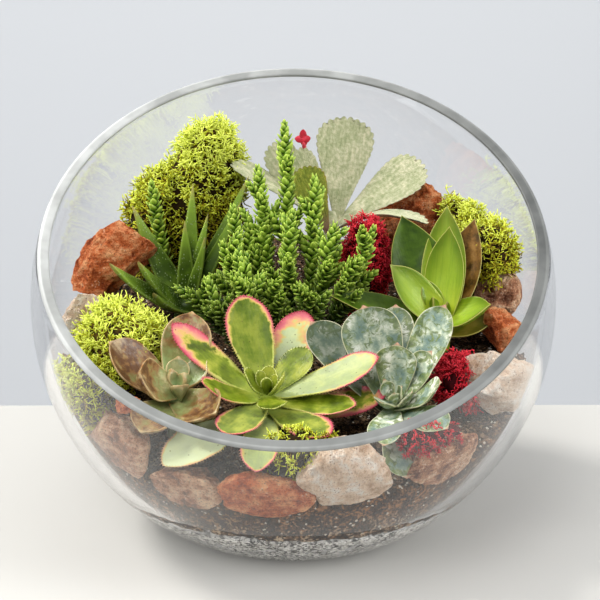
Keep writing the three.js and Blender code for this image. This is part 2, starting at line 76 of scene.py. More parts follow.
class Field:
    """A number, colour or shader that nodes work out at each point. Sums with fields add more nodes."""

    def __init__(self, nodes, socket):
        self.nodes = nodes
        self.socket = socket

    def maths(self, operation, other):
        return self.nodes.field("Math", {0: self, 1: other}, operation=operation)

    def __add__(self, other):
        return self.maths("ADD", other)

    def __sub__(self, other):
        return self.maths("SUBTRACT", other)

    def __mul__(self, other):
        return self.maths("MULTIPLY", other)

    def __truediv__(self, other):
        return self.maths("DIVIDE", other)

    def span(self, low, high, to_low=0, to_high=1):
        """Brought from low..high to to_low..to_high, and held there, with soft ends."""
        inputs = {"Value": self, "From Min": low, "From Max": high, "To Min": to_low, "To Max": to_high}
        return self.nodes.field("MapRange", inputs, interpolation_type="SMOOTHSTEP")

    def ramp(self, *stops):
        """A colour for each value. Stops are (place from 0 to 1, colour code)."""
        made = self.nodes.node("ValToRGB", {0: self})
        elements = made.color_ramp.elements
        while len(elements) < len(stops):
            elements.new(0.5)
        for element, (place, code) in zip(elements, stops):
            element.position = place
            element.color = rgb(code)
        return Field(self.nodes, made.outputs["Color"])

    def coat(self, amount, other):
        """This colour under another, which hides it by amount."""
        return self.nodes.field("Mix", {0: amount, 6: self, 7: other}, output=2, data_type="RGBA")

    def bump(self, depth, normal=None):
        """A normal that raises this height, from 0 to 1, by depth millimetres, over another normal."""
        inputs = {"Height": self, "Distance": depth * MM, "Strength": 1, "Normal": normal}
        return self.nodes.field("Bump", inputs)


class Nodes:
    """The nodes of a material or a world. An input is a number, a colour code, a field or None."""

    def __init__(self, owner):
        owner.use_nodes = True
        self.tree = owner.node_tree
        self.tree.nodes.clear()
        self.places = self.field("TexCoord", output="Object")

    def node(self, kind, inputs=(), **settings):
        made = self.tree.nodes.new("ShaderNode" + kind)
        for key, value in settings.items():
            setattr(made, key, value)
        for key, value in dict(inputs).items():
            if isinstance(value, Field):
                self.tree.links.new(value.socket, made.inputs[key])
            elif value is not None:
                made.inputs[key].default_value = rgb(value) if isinstance(value, str) else value
        return made

    def field(self, kind, inputs=(), output=0, **settings):
        return Field(self, self.node(kind, inputs, **settings).outputs[output])


SOFT_SCALE = 0.4
FELT_ROUGHNESS = 0.6
FELT_COLOUR = "e4ecd8"


class Paint(Nodes):
    """A material. Mesh values, noise and cells are fields, and it ends in one Principled shader."""

    def __init__(self, name):
        paints[name] = bpy.data.materials.new(name)
        super().__init__(paints[name])

    def held(self, *names):
        """Values that the mesh holds at each point."""
        found = [self.field("Attribute", output="Fac", attribute_name=name) for name in names]
        return found if len(found) > 1 else found[0]

    def noise(self, size, detail=3, roughness=0.55, places=None, distortion=0):
        """Cloudy noise with features of about size millimetres."""
        inputs = {"Vector": places or self.places, "Scale": 1 / (size * MM), "Detail": detail,
                  "Roughness": roughness, "Distortion": distortion}
        return self.field("TexNoise", inputs)

    def cells(self, size, output="Distance", places=None, spread=1):
        """Cells about size millimetres across: the distance to each middle, or a colour for each."""
        inputs = {"Vector": places or self.places, "Scale": 1 / (size * MM), "Randomness": spread}
        return self.field("TexVoronoi", inputs, output)

    def blade(self, stretch=0.15):
        """Places on a leaf: across it, along it drawn out by 1 / stretch, and a shift for each leaf."""
        across, ahead, tone = self.held("across", "ahead", "tone")
        return self.field("CombineXYZ", {0: across * MM, 1: ahead * (MM * stretch), 2: tone})

    def finish(self, colour, normal=None, roughness=0.9, shine=0.5, soft=0, reach=(0, 0, 0), felt=0):
        """Soft is how much light goes in, and reach how far its red, green and blue spread there."""
        inputs = {
            "Base Color": colour, "Normal": normal, "Roughness": roughness, "Specular IOR Level": shine,
            "Subsurface Weight": soft, "Subsurface Radius": reach, "Subsurface Scale": SOFT_SCALE,
            "Sheen Weight": felt, "Sheen Roughness": FELT_ROUGHNESS, "Sheen Tint": FELT_COLOUR,
        }
        self.node("OutputMaterial", {"Surface": self.field("BsdfPrincipled", inputs)})


def mix_glass():
    """Clear glass that lets the light of lamps straight through."""
    paint = Paint("clear_glass")
    looks = {"Base Color": "ffffff", "Roughness": 0, "IOR": 1.5, "Transmission Weight": 1}
    glass = paint.field("BsdfPrincipled", looks)
    clear = paint.field("BsdfTransparent", {"Color": "fdfdfd"})
    shadow, bounced = [paint.field("LightPath", output=f"Is {kind} Ray") for kind in ("Shadow", "Diffuse")]
    mixed = paint.field("MixShader", {0: shadow.maths("MAXIMUM", bounced), 1: glass, 2: clear})
    paint.node("OutputMaterial", {"Surface": mixed})


def mix_edge():
    """The cut and polished edge of the glass, where light from inside the wall comes out.
    Its held tone paints light and shade: lighter on the left and back, darker on the right,
    with a painted highlight along the outer corner.
    """
    paint = Paint("glass_edge")
    tone = paint.held("tone") + paint.noise(14).span(0.3, 0.7, -0.08, 0.08)
    colour = tone.ramp((0, "343636"), (0.5, "7e807e"), (1, "cccecd"))
    paint.finish(colour, paint.noise(3).bump(0.03), roughness=0.45, shine=0.3)


def mix_aeonium():
    """Yellow-green leaves that turn yellow, then pink, towards a bristly edge, with dark freckles."""
    paint = Paint("aeonium_leaf")
    rim, along, blush, dark = paint.held("rim", "along", "blush", "dark")
    reach = blush * 7.5 * along.span(0.3, 1, 0.25, 1.3) + 0.3
    near = rim / (reach * paint.noise(4, 4).span(0.3, 0.7, 0.5, 1.5))
    clouds = paint.noise(8, 4) + paint.noise(0.9, 2, places=paint.blade()) * 0.22
    green = clouds.ramp((0.4, "425006"), (0.58, "677714"), (0.76, "959b34"))
    # Leaves marked dark are painted darker green, as painted shade, and those below 0 paler, as painted
    # light.
    green = green.coat(along.span(0, 0.35, 0.7, 0), "bccf62").coat(dark, "425a0e")
    green = green.coat(dark.span(0, -1, 0, 0.9), "ccd6ae")
    edge = near.ramp((0, "a8384a"), (0.22, "c4606a"), (0.45, "cf9270"), (0.75, "c3ae50"))
    edge = edge.coat(blush.span(0, 0.12, 0.9, 0), "c9d17e").coat(along.span(0.35, 0.7, 0.85, 0), "aebd58")
    freckle = paint.cells(1.9).span(0.13, 0.2, 1, 0) * paint.noise(6).span(0.5, 0.58)
    colour = edge.coat(near.span(0.5, 1.1), green).coat(freckle * 0.7, "4a4312")
    normal = paint.noise(0.8).bump(0.06, paint.noise(3.5).bump(0.4))
    paint.finish(colour, normal, roughness=0.42, shine=0.25, soft=0.1, reach=(0.004, 0.003, 0.001))


def mix_blue():
    """Grey-green leaves under white powder that has run and rubbed off in patches, with cream edges."""
    paint = Paint("blue_leaf")
    rim, along, dark = paint.held("rim", "along", "dark")
    powder = [(0.36, "667e76"), (0.46, "869886"), (0.55, "bac3ab"), (0.65, "eaebde")]
    bare = paint.noise(2, 4).ramp((0.35, "43561e"), (0.55, "6a7a3c"), (0.7, "919b5e"))
    rubbed = paint.noise(4.2, 6, 0.68, distortion=1.3) + rim.span(5, 0.4, -0.02, 0.11)
    colour = paint.noise(6, 5, 0.6).ramp(*powder).coat(rubbed.span(0.5, 0.6, 0, 0.85), bare)
    # Leaves marked dark are painted darker, as painted shade.
    colour = colour.coat(along.span(0, 0.4, 0.7, 0), "7c9460").coat(dark, "35422f")
    colour = colour.coat(rim.span(0.1, 0.5, 0.7, 0), "d3cfae").coat(along.span(0.987, 1), "a97f66")
    paint.finish(colour, rubbed.bump(0.5, paint.noise(0.9).bump(0.08)), roughness=0.5, shine=0.28)


def mix_green():
    """Smooth bright leaves, each with a thin pale edge. Older ones are browner, and leaves marked dark are
    painted darker, as painted shade.
    """
    paint = Paint("green_leaf")
    rim, along, blush, dark = paint.held("rim", "along", "blush", "dark")
    lines = paint.noise(0.7, 3, 0.6, paint.blade(0.06))
    old = paint.noise(5, 5, 0.65).ramp((0.35, "3f2c0e"), (0.5, "6e4c1e"), (0.65, "8f6a35"))
    shaded = paint.noise(7).ramp((0.35, "253c06"), (0.65, "476212"))
    colour = along.ramp((0.05, "a4b02a"), (0.4, "77901a"), (0.8, "566f10"), (1, "6c7a1c"))
    colour = colour.coat(rim.span(0.5, 6) * 0.35, "b4cf3f").coat(lines.span(0.4, 0.7, 0, 0.28), "4f7a12")
    # Leaves marked dark take the shaded colour, as painted shade.
    colour = colour.coat(blush.span(0.2, 1), old).coat(dark, shaded)
    colour = colour.coat(rim.span(0.1, 0.4, 0.7, 0), "b3ab5c")
    normal = paint.noise(5).bump(0.25, lines.bump(0.08))
    paint.finish(colour, normal, roughness=0.36, shine=0.2, soft=0.1, reach=(0.003, 0.004, 0.001))


def mix_brown():
    """Thick leaves, green-grey at the base and brown towards the tip, with beige edges and bloom."""
    paint = Paint("brown_leaf")
    rim, along, blush, dark = paint.held("rim", "along", "blush", "dark")
    browned = along.span(0.15, 0.95) + blush * 0.55
    browned = browned * paint.noise(4, 5, 0.6).span(0.3, 0.7, 0.35, 1.15)
    bloom = paint.noise(4, 5, 0.65, paint.blade(0.5)).span(0.5, 0.7, 0, 0.45)
    edge = paint.noise(5).ramp((0.35, "a06e38"), (0.6, "c9b385"))
    colour = browned.ramp((0.1, "87985f"), (0.4, "7f7a48"), (0.7, "835f36"), (1, "5c3d22"))
    colour = colour.coat(bloom, "c8b284").coat(dark, "7d8f5e").coat(rim.span(0.1, 0.8, 0.7, 0), edge)
    normal = paint.noise(2.5, 4).bump(0.35)
    paint.finish(colour, normal, roughness=0.32, shine=0.35, soft=0.06, reach=(0.003, 0.002, 0.001))


def mix_felted():
    """Silver leaves under short felt, faintly mottled with green, with brown notches in the edge."""
    paint = Paint("felted_leaf")
    rim, along, blush = paint.held("rim", "along", "blush")
    veins = paint.noise(1.1, 3, 0.6, paint.blade(0.2))
    mottle = paint.noise(1.4, 4) * 0.6 + veins * 0.4 + paint.noise(8).span(0.3, 0.7, -0.05, 0.05)
    silver = mottle.ramp((0.36, "929a70"), (0.5, "aeb08c"), (0.64, "cdc9a9"))
    olive = mottle.ramp((0.35, "68771a"), (0.52, "8f9a2f"), (0.7, "b3a844"))
    olive = olive.coat(along.span(0.35, 0), "a8806e")
    notch = blush.ramp((0, "a09f82"), (1, "8a6a25"))
    colour = silver.coat(blush, olive).coat(rim.span(0.05, 0.5, 0.7, 0), notch)
    normal = paint.noise(0.45, 2).bump(0.3, veins.bump(0.4))
    paint.finish(colour, normal, shine=0.2, felt=0.25)


def mix_speckled():
    """Green leaves with rows of small white warts, and a paler edge and tip."""
    paint = Paint("speckled_leaf")
    rim, along = paint.held("rim", "along")
    colour = paint.noise(6).ramp((0.3, "26390a"), (0.55, "435c12"), (0.75, "6d8926"))
    # Painted shade darkens each leaf towards its base, deep in the rosette, and painted light makes it
    # lighter further up.
    colour = colour.coat(along.span(0.5, 0, 0, 0.6), "1e2d08").coat(along.span(0.4, 0.9, 0, 0.6), "93b43e")
    colour = colour.coat(rim.span(0.1, 1.1, 0.55, 0), "93ad48").coat(along.span(0.84, 1, 0, 0.8), "a8925a")
    wart = paint.cells(1, places=paint.blade(0.7), spread=0.6).span(0.18, 0.3, 1, 0)
    wart = wart * paint.noise(4).span(0.3, 0.44)
    paint.finish(colour.coat(wart * 0.6, "b4c98c"), wart.bump(0.3), roughness=0.42, shine=0.2)


def mix_scale():
    """Tight green scale leaves, yellower at each tip and painted darker low on the plant, as painted shade.
    """
    paint = Paint("scale_leaf")
    along, tone, depth = paint.held("along", "tone", "depth")
    colour = along.ramp((0, "223a05"), (0.45, "52750f"), (0.95, "adc14a"))
    colour = colour.coat(tone * 0.3, "b9dc52").coat(depth.span(0, 1, 0.9, 0), "1a3003")
    normal = paint.noise(0.7).bump(0.05)
    paint.finish(colour, normal, roughness=0.42, shine=0.35, soft=0.1, reach=(0.00125, 0.001875, 0.000625))


def mix_bud():
    """Red petals."""
    paint = Paint("red_bud")
    colour = paint.noise(1.5).ramp((0.3, "8c0a20"), (0.6, "c0142f"), (0.8, "d8435a"))
    paint.finish(colour, paint.noise(0.8).bump(0.1), roughness=0.45)


# Specks are a colour and their share, and strata how far the layers change the colour.
STONE_LOOKS = {
    "red_stone": {"stops": [(0.3, "7a3010"), (0.46, "ca6634"), (0.66, "f4b07a")],
                  "speck": "f4d3b4", "share": 0.09, "strata": 0.05},
    "cream_stone": {"stops": [(0.3, "be9878"), (0.45, "f0d2b4"), (0.68, "fff6ea")],
                    "speck": "94603f", "share": 0.12, "strata": 0.03},
    "brown_stone": {"stops": [(0.3, "643826"), (0.45, "bd8462"), (0.66, "f6d2ac")],
                    "speck": "f0dcc4", "share": 0.16, "strata": 0.05},
}


def mix_stone(name, stops, speck, share, strata):
    """Rough broken rock: colour in clouds, layers and grains, dark pits, and specks."""
    paint = Paint(name)
    slant = {"Vector": paint.places, "Rotation": (0.5, 0.35, 0.2), "Scale": (0.5, 0.5, 3.5)}
    layers = paint.noise(3.5, 4, 0.6, paint.field("Mapping", slant))
    # The held relief paints the hollows darker and the ridges lighter, as painted shade and light.
    cloud = paint.noise(6, 7, 0.72) + paint.held("relief") * 0.16 + layers.span(0.3, 0.7, -strata, strata)
    grain = paint.noise(0.7, 4, 0.75)
    specks = paint.cells(1.1).span(0.2, 0.32, 1, 0) * paint.noise(3).span(0.62 - share, 0.75 - share)
    colour = cloud.ramp(*stops).coat(grain.span(0.47, 0.36, 0, 0.85), stops[0][1])
    colour = colour.coat(grain.span(0.55, 0.68, 0, 0.5), stops[-1][1]).coat(specks * 0.7, speck)
    normal = layers.bump(2.5 * strata, paint.noise(2.2, 6, 0.78).bump(2.6))
    paint.finish(colour, grain.bump(1, normal), roughness=0.95, shine=0.2)


# Ramps from the painted shade deep in a cushion to the colour of the tips.
MOSS_LOOKS = {
    "green_moss": [(0, "281b06"), (0.2, "71591a"), (0.42, "a89e20"), (0.68, "c9d236"), (1, "e6f06c")],
    "red_moss": [(0, "330308"), (0.3, "780812"), (0.6, "b8101f"), (0.95, "dc3a48")],
}


def mix_moss(name, stops):
    """Threads that go from painted shade deep in the cushion, held as depth 0, to their bright tips. The
    held tone adds painted light and shade by height.
    """
    paint = Paint(name)
    depth, tone = paint.held("depth", "tone")
    level = depth + (tone - 0.5) * 0.7 + paint.noise(7).span(0.3, 0.7, -0.12, 0.12)
    paint.finish(level.ramp(*stops), paint.noise(0.5).bump(0.08), shine=0.15)


def mix_soil():
    """Dark mould with crumbs of many browns. It is drier and paler where it lies against the glass."""
    paint = Paint("potting_soil")
    dry, tone, gritty = paint.held("dry", "tone", "gritty")
    crumbs = paint.cells(0.8, "Color")
    shade, chance = [paint.field("SeparateColor", {0: crumbs}, output) for output in (0, 1)]
    shade = shade + paint.noise(6, 4).span(0.3, 0.7, -0.3, 0.3)
    damp = shade.ramp((0, "160f08"), (0.4, "302215"), (0.7, "503a26"), (1, "806850"))
    pale = shade.ramp((0, "0f0702"), (0.3, "221006"), (0.7, "422710"), (1, "8a5c32"))
    grains = shade.ramp((0.1, "0b0603"), (0.4, "2a1a0f"), (0.65, "5e4630"), (1, "cdbca2"))
    colour = damp.coat(dry, pale).coat(gritty * paint.noise(5, 4, 0.6).span(0.35, 0.6), grains)
    colour = colour.coat(chance.span(0.975, 0.985), "c4bcae").coat(tone.span(0.75, 0.8), "dcd8cf")
    paint.finish(colour, paint.cells(1).bump(0.6, paint.noise(0.6).bump(0.4)), roughness=0.95, shine=0.2)


def mix_grit():
    """Pale crushed stone with black grains."""
    paint = Paint("drainage_grit")
    grain = paint.field("SeparateColor", {0: paint.cells(0.85, "Color")})
    grain = grain + paint.noise(5, 4).span(0.3, 0.7, -0.2, 0.2)
    colour = grain.ramp((0, "0e0c0b"), (0.24, "2e2a27"), (0.34, "8f8a83"), (0.6, "cfccc6"), (1, "f4f2ee"))
    paint.finish(colour, paint.cells(0.95).bump(0.6), roughness=0.85)


def mix_paints():
    for mix in (mix_glass, mix_edge, mix_aeonium, mix_blue, mix_green, mix_brown, mix_felted, mix_speckled,
                mix_scale, mix_bud, mix_soil, mix_grit):
        mix()
    for name, look in STONE_LOOKS.items():
        mix_stone(name, **look)
    for name, stops in MOSS_LOOKS.items():
        mix_moss(name, stops)


# ---- camera, stage and light

CAMERA_AT = (0, -776, 341.5)
CAMERA_DOWN = 18.02  # degrees
CAMERA_RIGHT = 0.19  # degrees
LENS = 125.2
TABLE_EDGE = 118  # how far behind the bowl's middle the table ends

# In metres and watts: place, height of the point that it shines at, width and length, power, colour.
LAMPS = {
    "key": ((-0.75, 0.25, 1.1), 0.08, (0.3, 0.3), 14, (1, 0.97, 0.92)),
    "fill": ((-0.45, -0.9, 1.3), 0.08, (0.8, 0.8), 12, (1, 1, 1)),
    "strip_right": ((1.1, -0.35, 0.5), 0.06, (0.35, 1.1), 13, (1, 1, 1)),
    "strip_left": ((-1.25, -0.1, 0.45), 0.06, (1.1, 1.1), 7.5, (1, 1, 1)),
}


def aim_camera():
    data = bpy.data.cameras.new("camera")
    data.lens = LENS
    data.sensor_width = 36
    data.clip_start = 0.01
    camera = show("camera", data)
    camera.location = Vector(CAMERA_AT) * MM
    camera.rotation_euler = (math.radians(90 - CAMERA_DOWN), 0, -math.radians(CAMERA_RIGHT))
    bpy.context.scene.camera = camera


def add_lamp(name, at, height, size, power, colour):
    data = bpy.data.lights.new(name, "AREA")
    data.shape = "RECTANGLE"
    data.size, data.size_y = size
    data.energy = power
    data.color = colour
    lamp = show(name, data)
    lamp.location = at
    lamp.rotation_euler = (Vector((0, 0, height)) - Vector(at)).to_track_quat("-Z", "Y").to_euler()


def stage_block(name, low, high, colour):
    Paint(f"stage_{name}").finish(colour, roughness=0.7)
    corners = list(itertools.product(*zip(low, high)))
    sides = [(0, 1, 3, 2), (4, 6, 7, 5), (0, 4, 5, 1), (2, 3, 7, 6), (0, 2, 6, 4), (1, 5, 7, 3)]
    mesh = bpy.data.meshes.new(name)
    mesh.from_pydata(corners, [], sides)
    mesh.materials.append(paints[f"stage_{name}"])
    show(name, mesh)


def add_studio():
    """Even light from all round, dimmer on the camera's side, which the front of the bowl mirrors."""
    world = bpy.data.worlds.new("studio")
    studio = Nodes(world)
    front_to_back = studio.field("SeparateXYZ", {0: studio.field("TexCoord", output="Generated")}, "Y")
    light = {"Color": "f3f4f5", "Strength": front_to_back.span(-0.9, 0.1, 0.5, 1.12)}
    studio.node("OutputWorld", {"Surface": studio.field("Background", light)})
    bpy.context.scene.world = world


def add_stage():
    bpy.context.scene.view_settings.view_transform = "Standard"
    aim_camera()
    stage_block("table", (-1.6, -1.4, -0.04), (1.6, TABLE_EDGE * MM, 0), "b9b8b4")
    stage_block("wall", (-3, 1.6, -2.0), (3, 1.65, 2.5), "dbdee2")
    add_studio()
    for name, lamp in LAMPS.items():
        add_lamp(name, *lamp)


# ---- meshes

class Shape:
    """Points in millimetres, faces between them, and values held by each point, 0 unless given."""

    def __init__(self):
        self.points = []
        self.faces = []
        self.values = {}
        self.count = 0

    def add(self, points, faces, **values):
        points = np.asarray(points, float).reshape(-1, 3)
        self.points.append(points)
        self.faces += [[corner + self.count for corner in face] for face in faces]
        for key, value in values.items():
            self.values.setdefault(key, {})[self.count] = np.broadcast_to(value, len(points))
        self.count += len(points)

    def add_many(self, points, faces, **values):
        """Adds small solids of one make. Points has a row for each, and faces are those of one."""
        count, corners = points.shape[:2]
        faces = [[corner + row * corners for corner in face] for row in range(count) for face in faces]
        held = {key: np.broadcast_to(value, (count, corners)).ravel() for key, value in values.items()}
        self.add(points, faces, **held)

    def piece(self, node, slot, paint=None, smooth=True, name=None, replaces=True):
        """Makes the shape into a piece that stands for a CAD node."""
        name = name or f"{node}_skin"
        mesh = bpy.data.meshes.new(name)
        mesh.from_pydata(np.concatenate(self.points) * MM, [], self.faces, shade_flat=not smooth)
        for key, blocks in self.values.items():
            held = np.zeros(self.count, np.float32)
            for start, values in blocks.items():
                held[start:start + len(values)] = values
            mesh.attributes.new(key, "FLOAT", "POINT").data.foreach_set("value", held)
        mesh.materials.append(paints[paint or slot])
        piece = show(name, mesh)
        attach(piece, "root")
        if replaces:
            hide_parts(node)


def unit(vectors):
    return vectors / np.linalg.norm(vectors, axis=-1, keepdims=True).clip(1e-9)


def arc(start, middle, end, t):
    """Points at shares t of a curve that sets out from start towards middle and bends to end."""
    return start * (1 - t) ** 2 + middle * 2 * t * (1 - t) + end * t * t


def round_angles(count):
    return math.tau * np.arange(count) / count


def tube_faces(rings, around):
    """Faces of a closed tube: a pole, rings of points counted round, and a pole."""
    last = (rings - 1) * around
    faces = []
    for step in range(around):
        i, j = step + 1, (step + 1) % around + 1
        faces += [(row + i, row + j, row + around + j, row + around + i) for row in range(0, last, around)]
        faces += [(0, j, i), (last + around + 1, last + i, last + j)]
    return faces


def tube_points(grid):
    """A tube's points, or its values, from rows of them. The first row and the last become poles."""
    return np.concatenate([grid[0, :1], *grid[1:-1], grid[-1, :1]])


def inside_glass(points, gap=AIR_GAP):
    """Points moved in towards the ball's centre where they would be less than gap from the glass."""
    reach = np.linalg.norm(points - CENTRE, axis=-1, keepdims=True)
    most = BOWL_RADIUS - WALL - gap
    return np.where(reach > most, CENTRE + (points - CENTRE) * most / reach.clip(1), points)


def pressed(points, depth):
    """Points moved out from the ball's centre by depth, so that what they make touches the glass."""
    return points + unit(points - CENTRE) * depth[:, None]


CONTACT_DEPTH, CONTACT_FADE = 5, 4


def wall_share(points):
    """1 for points against the glass, falling to 0 at CONTACT_DEPTH from it."""
    reach = np.linalg.norm(points - CENTRE, axis=-1)
    return np.clip((reach - (BOWL_RADIUS - WALL) + CONTACT_DEPTH) / CONTACT_FADE, 0, 1)


def waves(points, size, shift=(0, 0, 0)):
    """Smooth noise from -1 to 1 at each point, with waves of about size millimetres."""
    return np.array([noise.noise(Vector(p) / size + Vector(shift)) for p in points])


def crags(points, size, shift):
    """Noise with sharp ridges, around 0."""
    places = [Vector(p) / size + Vector(shift) for p in points]
    return np.array([noise.ridged_multi_fractal(p, 1.0, 2.1, 3, 1.0, 2.0) - 1.1 for p in places])


# ---- bowl

BOWL_SEGMENTS = 160
BOWL_STEPS = 32  # rings of the side, outside and inside
CORNER_STEPS = 5
FLOOR_RINGS = (0.3, 0.65, 0.9)
FOOT_SHARPNESS = 0.998  # how far out the foot's rounded corner is drawn
RIM_FILM = 0.05  # half as thick as the film over the cut edge
# Painted light and shade round the rim: the middle grey, how much lighter the left, darker the right and
# lighter the back are painted, and the painted highlight along the outer corner.
RIM_LIGHT_AND_SHADE = {"middle": 0.47, "left": 0.2, "right": 0.3, "back": 0.07, "corner": 0.15}


def corner(start, middle, end):
    """Rings that round the corner at middle."""
    return [arc(start, middle, end, t) for t in np.linspace(0, 1, CORNER_STEPS + 1)[1:-1]]


def add_bowl():
    """The blown ball as one closed skin: foot, outside, softened rim, inside and floor."""
    turn = round_angles(BOWL_SEGMENTS)
    slope, lean = math.cos(math.radians(RIM_TILT)), math.sin(math.radians(RIM_TILT)) * np.sin(turn)
    flat = np.stack([np.cos(turn), np.sin(turn), np.zeros(BOWL_SEGMENTS)], -1)

    def on_ball(radius, rise):
        rise = rise[:, None]
        return CENTRE + radius * (flat * np.cos(rise) + np.array([0, 0, 1]) * np.sin(rise))

    def cut(radius, offset):
        """The angles, all the way round, at which the slanting cut meets a ball of that radius."""
        return np.arcsin(offset / radius / np.hypot(slope, lean)) + np.arctan2(lean, slope)

    def wall(radius, floor):
        """Rings of one skin, from the edge of its floor up to just under the rim."""
        foot = -math.asin((BALL_HEIGHT - floor) / radius)
        bevel = math.radians(FOOT_BEVEL)
        low = np.full(BOWL_SEGMENTS, foot + bevel)
        edge = flat * (radius * math.cos(foot) - radius * bevel) + [0, 0, floor]
        sharp = flat * radius * math.cos(foot) * FOOT_SHARPNESS + [0, 0, floor]
        rings = [edge * [share, share, 1] for share in FLOOR_RINGS]
        rings += [edge, *corner(edge, sharp, on_ball(radius, low))]
        rise = cut(radius, RIM_OFFSET - RIM_SOFTENING) - low
        return rings + [on_ball(radius, low + rise * share) for share in np.linspace(0, 1, BOWL_STEPS)]

    outer, inner = wall(BOWL_RADIUS, 0), wall(BOWL_RADIUS - WALL, FLOOR_THICKNESS)
    crest, inner_crest = [on_ball(r, cut(r, RIM_OFFSET)) for r in (BOWL_RADIUS, BOWL_RADIUS - WALL)]
    across = unit(inner_crest - crest) * RIM_SOFTENING
    left, right = crest + across, inner_crest - across
    rim = [*corner(outer[-1], crest, left), left, (left + right) / 2, right,
           *corner(right, inner_crest, inner[-1])]
    rings = outer + rim + inner[::-1]
    points = [[[0, 0, 0]], *rings, [[0, 0, FLOOR_THICKNESS]]]
    bowl = Shape()
    bowl.add(np.concatenate(points), tube_faces(len(rings), BOWL_SEGMENTS))
    bowl.piece("glass_bowl", "clear_glass")
    add_rim(np.array([outer[-1], *rim, inner[-1]]), turn)


def add_rim(rim, turn):
    """A film over the cut edge, so that it shows as the grey band that thick glass has end on.
    Its tone is painted lighter on the left and back and darker on the right and front, as painted light
    and shade, with a painted highlight along the outer corner.
    """
    beyond = np.concatenate([rim[:1] * 2 - rim[1:2], rim, rim[-1:] * 2 - rim[-2:-1]])
    along = unit(np.roll(rim, -1, axis=1) - np.roll(rim, 1, axis=1))
    outward = unit(np.cross(along, beyond[2:] - beyond[:-2])) * RIM_FILM
    loop = np.concatenate([rim + outward, (rim - outward)[::-1]])
    index = np.arange(len(loop) * BOWL_SEGMENTS).reshape(-1, BOWL_SEGMENTS)
    below, beside = np.roll(index, -1, axis=0), np.roll(index, -1, axis=1)
    faces = np.stack([index, beside, np.roll(below, -1, axis=1), below], -1).reshape(-1, 4)
    # A painted highlight along the outer corner of the film.
    band = np.zeros(len(rim))
    band[:CORNER_STEPS] = RIM_LIGHT_AND_SHADE["corner"]
    # Painted light and shade: lighter on the left and back, darker on the right and front.
    sideward = np.cos(turn) * abs(np.cos(turn))
    shade = np.where(sideward > 0, RIM_LIGHT_AND_SHADE["right"], RIM_LIGHT_AND_SHADE["left"]) * sideward
    tone = RIM_LIGHT_AND_SHADE["middle"] - shade + RIM_LIGHT_AND_SHADE["back"] * np.sin(turn)
    film = Shape()
    film.add(loop, faces.tolist(), tone=(tone + np.concatenate([band, band[::-1]])[:, None]).ravel())
    film.piece("glass_bowl", "clear_glass", paint="glass_edge", name="glass_bowl_rim", replaces=False)


# ---- leaves and stems

# How a leaf's width runs from base to tip: waist, lift, blunt and point.
FORMS = {
    "spoon": (0.16, 0.9, 4.2, 0.7), "egg": (0.3, 0.75, 3.6, 0.62), "paddle": (0.35, 0.9, 6, 0.55),
    "lance": (0.4, 0.7, 2.3, 0.95), "fan": (0.16, 1.2, 6, 0.55), "spike": (1.2, 0.5, 1.4, 0.95),
    "scale": (0.7, 0.6, 2.0, 0.9),
}
TIP_TAPER = 0.55  # how much thinner a leaf is at its tip
UPPER_SHARE = 0.6  # how thick the upper half is against the lower
MUCRO_WIDTH = 0.9  # half a leaf's width where its hard point begins
RIPPLE_SIZE = 9
NOTCH_DEPTH = 0.085  # against a scalloped leaf's own size


def width_at(form, t):
    waist, lift, blunt, point = FORMS[form]
    return ((t + waist) / (1 + waist)) ** lift * (1 - t ** blunt) ** point


def leaf(shape, base, tip, width, bow, face, blush=0, dark=0, form="egg", thick=3, cup=0.1, keel=0,
         mucro=0, ripple=0.25, teeth=0, scallops=0, rings=32, around=24):
    """A blade from base to tip that bows away from its face, with a channel along its upper side."""
    base, tip, face = [np.array(p, float) for p in (base, tip, face)]
    chord = tip - base
    length = np.linalg.norm(chord)
    along = chord / length
    normal = unit(face - along * (face @ along))
    side = np.cross(normal, along)
    t = (0.5 - 0.5 * np.cos(math.pi * np.arange(rings + 2) / (rings + 1)))[:, None]
    half = width / 2 / width_at(form, np.linspace(0, 0.99, 100)).max() * width_at(form, t)
    u, v = np.cos(round_angles(around)), np.sin(round_angles(around))
    tangent = unit(chord - normal * (4 * bow * (1 - 2 * t)))
    upper = unit(normal - tangent * (tangent @ normal)[:, None])
    spine = base + chord * t - normal * (4 * bow * t * (1 - t))
    spine += along * (mucro * np.exp(-(half / MUCRO_WIDTH) ** 2) * (t > 0.5))
    closing = np.sqrt(np.clip(1 - t ** 10, 0, 1) * np.clip(1 - (1 - t) ** 12, 0, 1))
    bulge = thick / 2 * (1 - TIP_TAPER * t * t) * closing
    lift = v * bulge * np.where(v < 0, 1 + keel * (1 - abs(u)) ** 2, UPPER_SHARE) + cup * half * u * u
    wide, ahead = half * u, np.zeros((rings + 2, around))
    if scallops:
        from_middle = (t - 0.5) * length
        turn = np.arctan2(wide, from_middle)
        margin = np.maximum(abs(u) ** 6, t ** 12) * np.clip((t - 0.2) * 4, 0, 1)
        notch = (abs(np.sin(turn * scallops / 2)) ** 0.6 - 0.55) * NOTCH_DEPTH * margin
        wide, ahead = wide * (1 + notch), from_middle * notch
    grid = (spine[:, None, :] + side * wide[..., None] + upper[:, None, :] * lift[..., None]
            + along * ahead[..., None])
    seed = float(rng.uniform(0, 50))
    ripples = waves(grid.reshape(-1, 3), RIPPLE_SIZE, (seed * 31.7, seed * 17.3, seed * 5.9)) * ripple
    grid = inside_glass(grid + ripples.reshape(wide.shape)[..., None] * normal)
    rim = np.minimum(half * (1 - abs(u)), length * (1 - t) * 1.1)
    shares = np.broadcast_to(t, rim.shape)
    shape.add(tube_points(grid), tube_faces(rings, around), rim=tube_points(rim), along=tube_points(shares),
              across=tube_points(half * u), ahead=tube_points(shares * length), blush=blush, dark=dark,
              tone=rng.uniform())
    if teeth:
        add_teeth(shape, grid, t[:, 0], side, teeth, blush)


TEETH_FROM = 0.25  # the share of a leaf's edge that has none
TEETH_SPACING = 1.5  # against their length


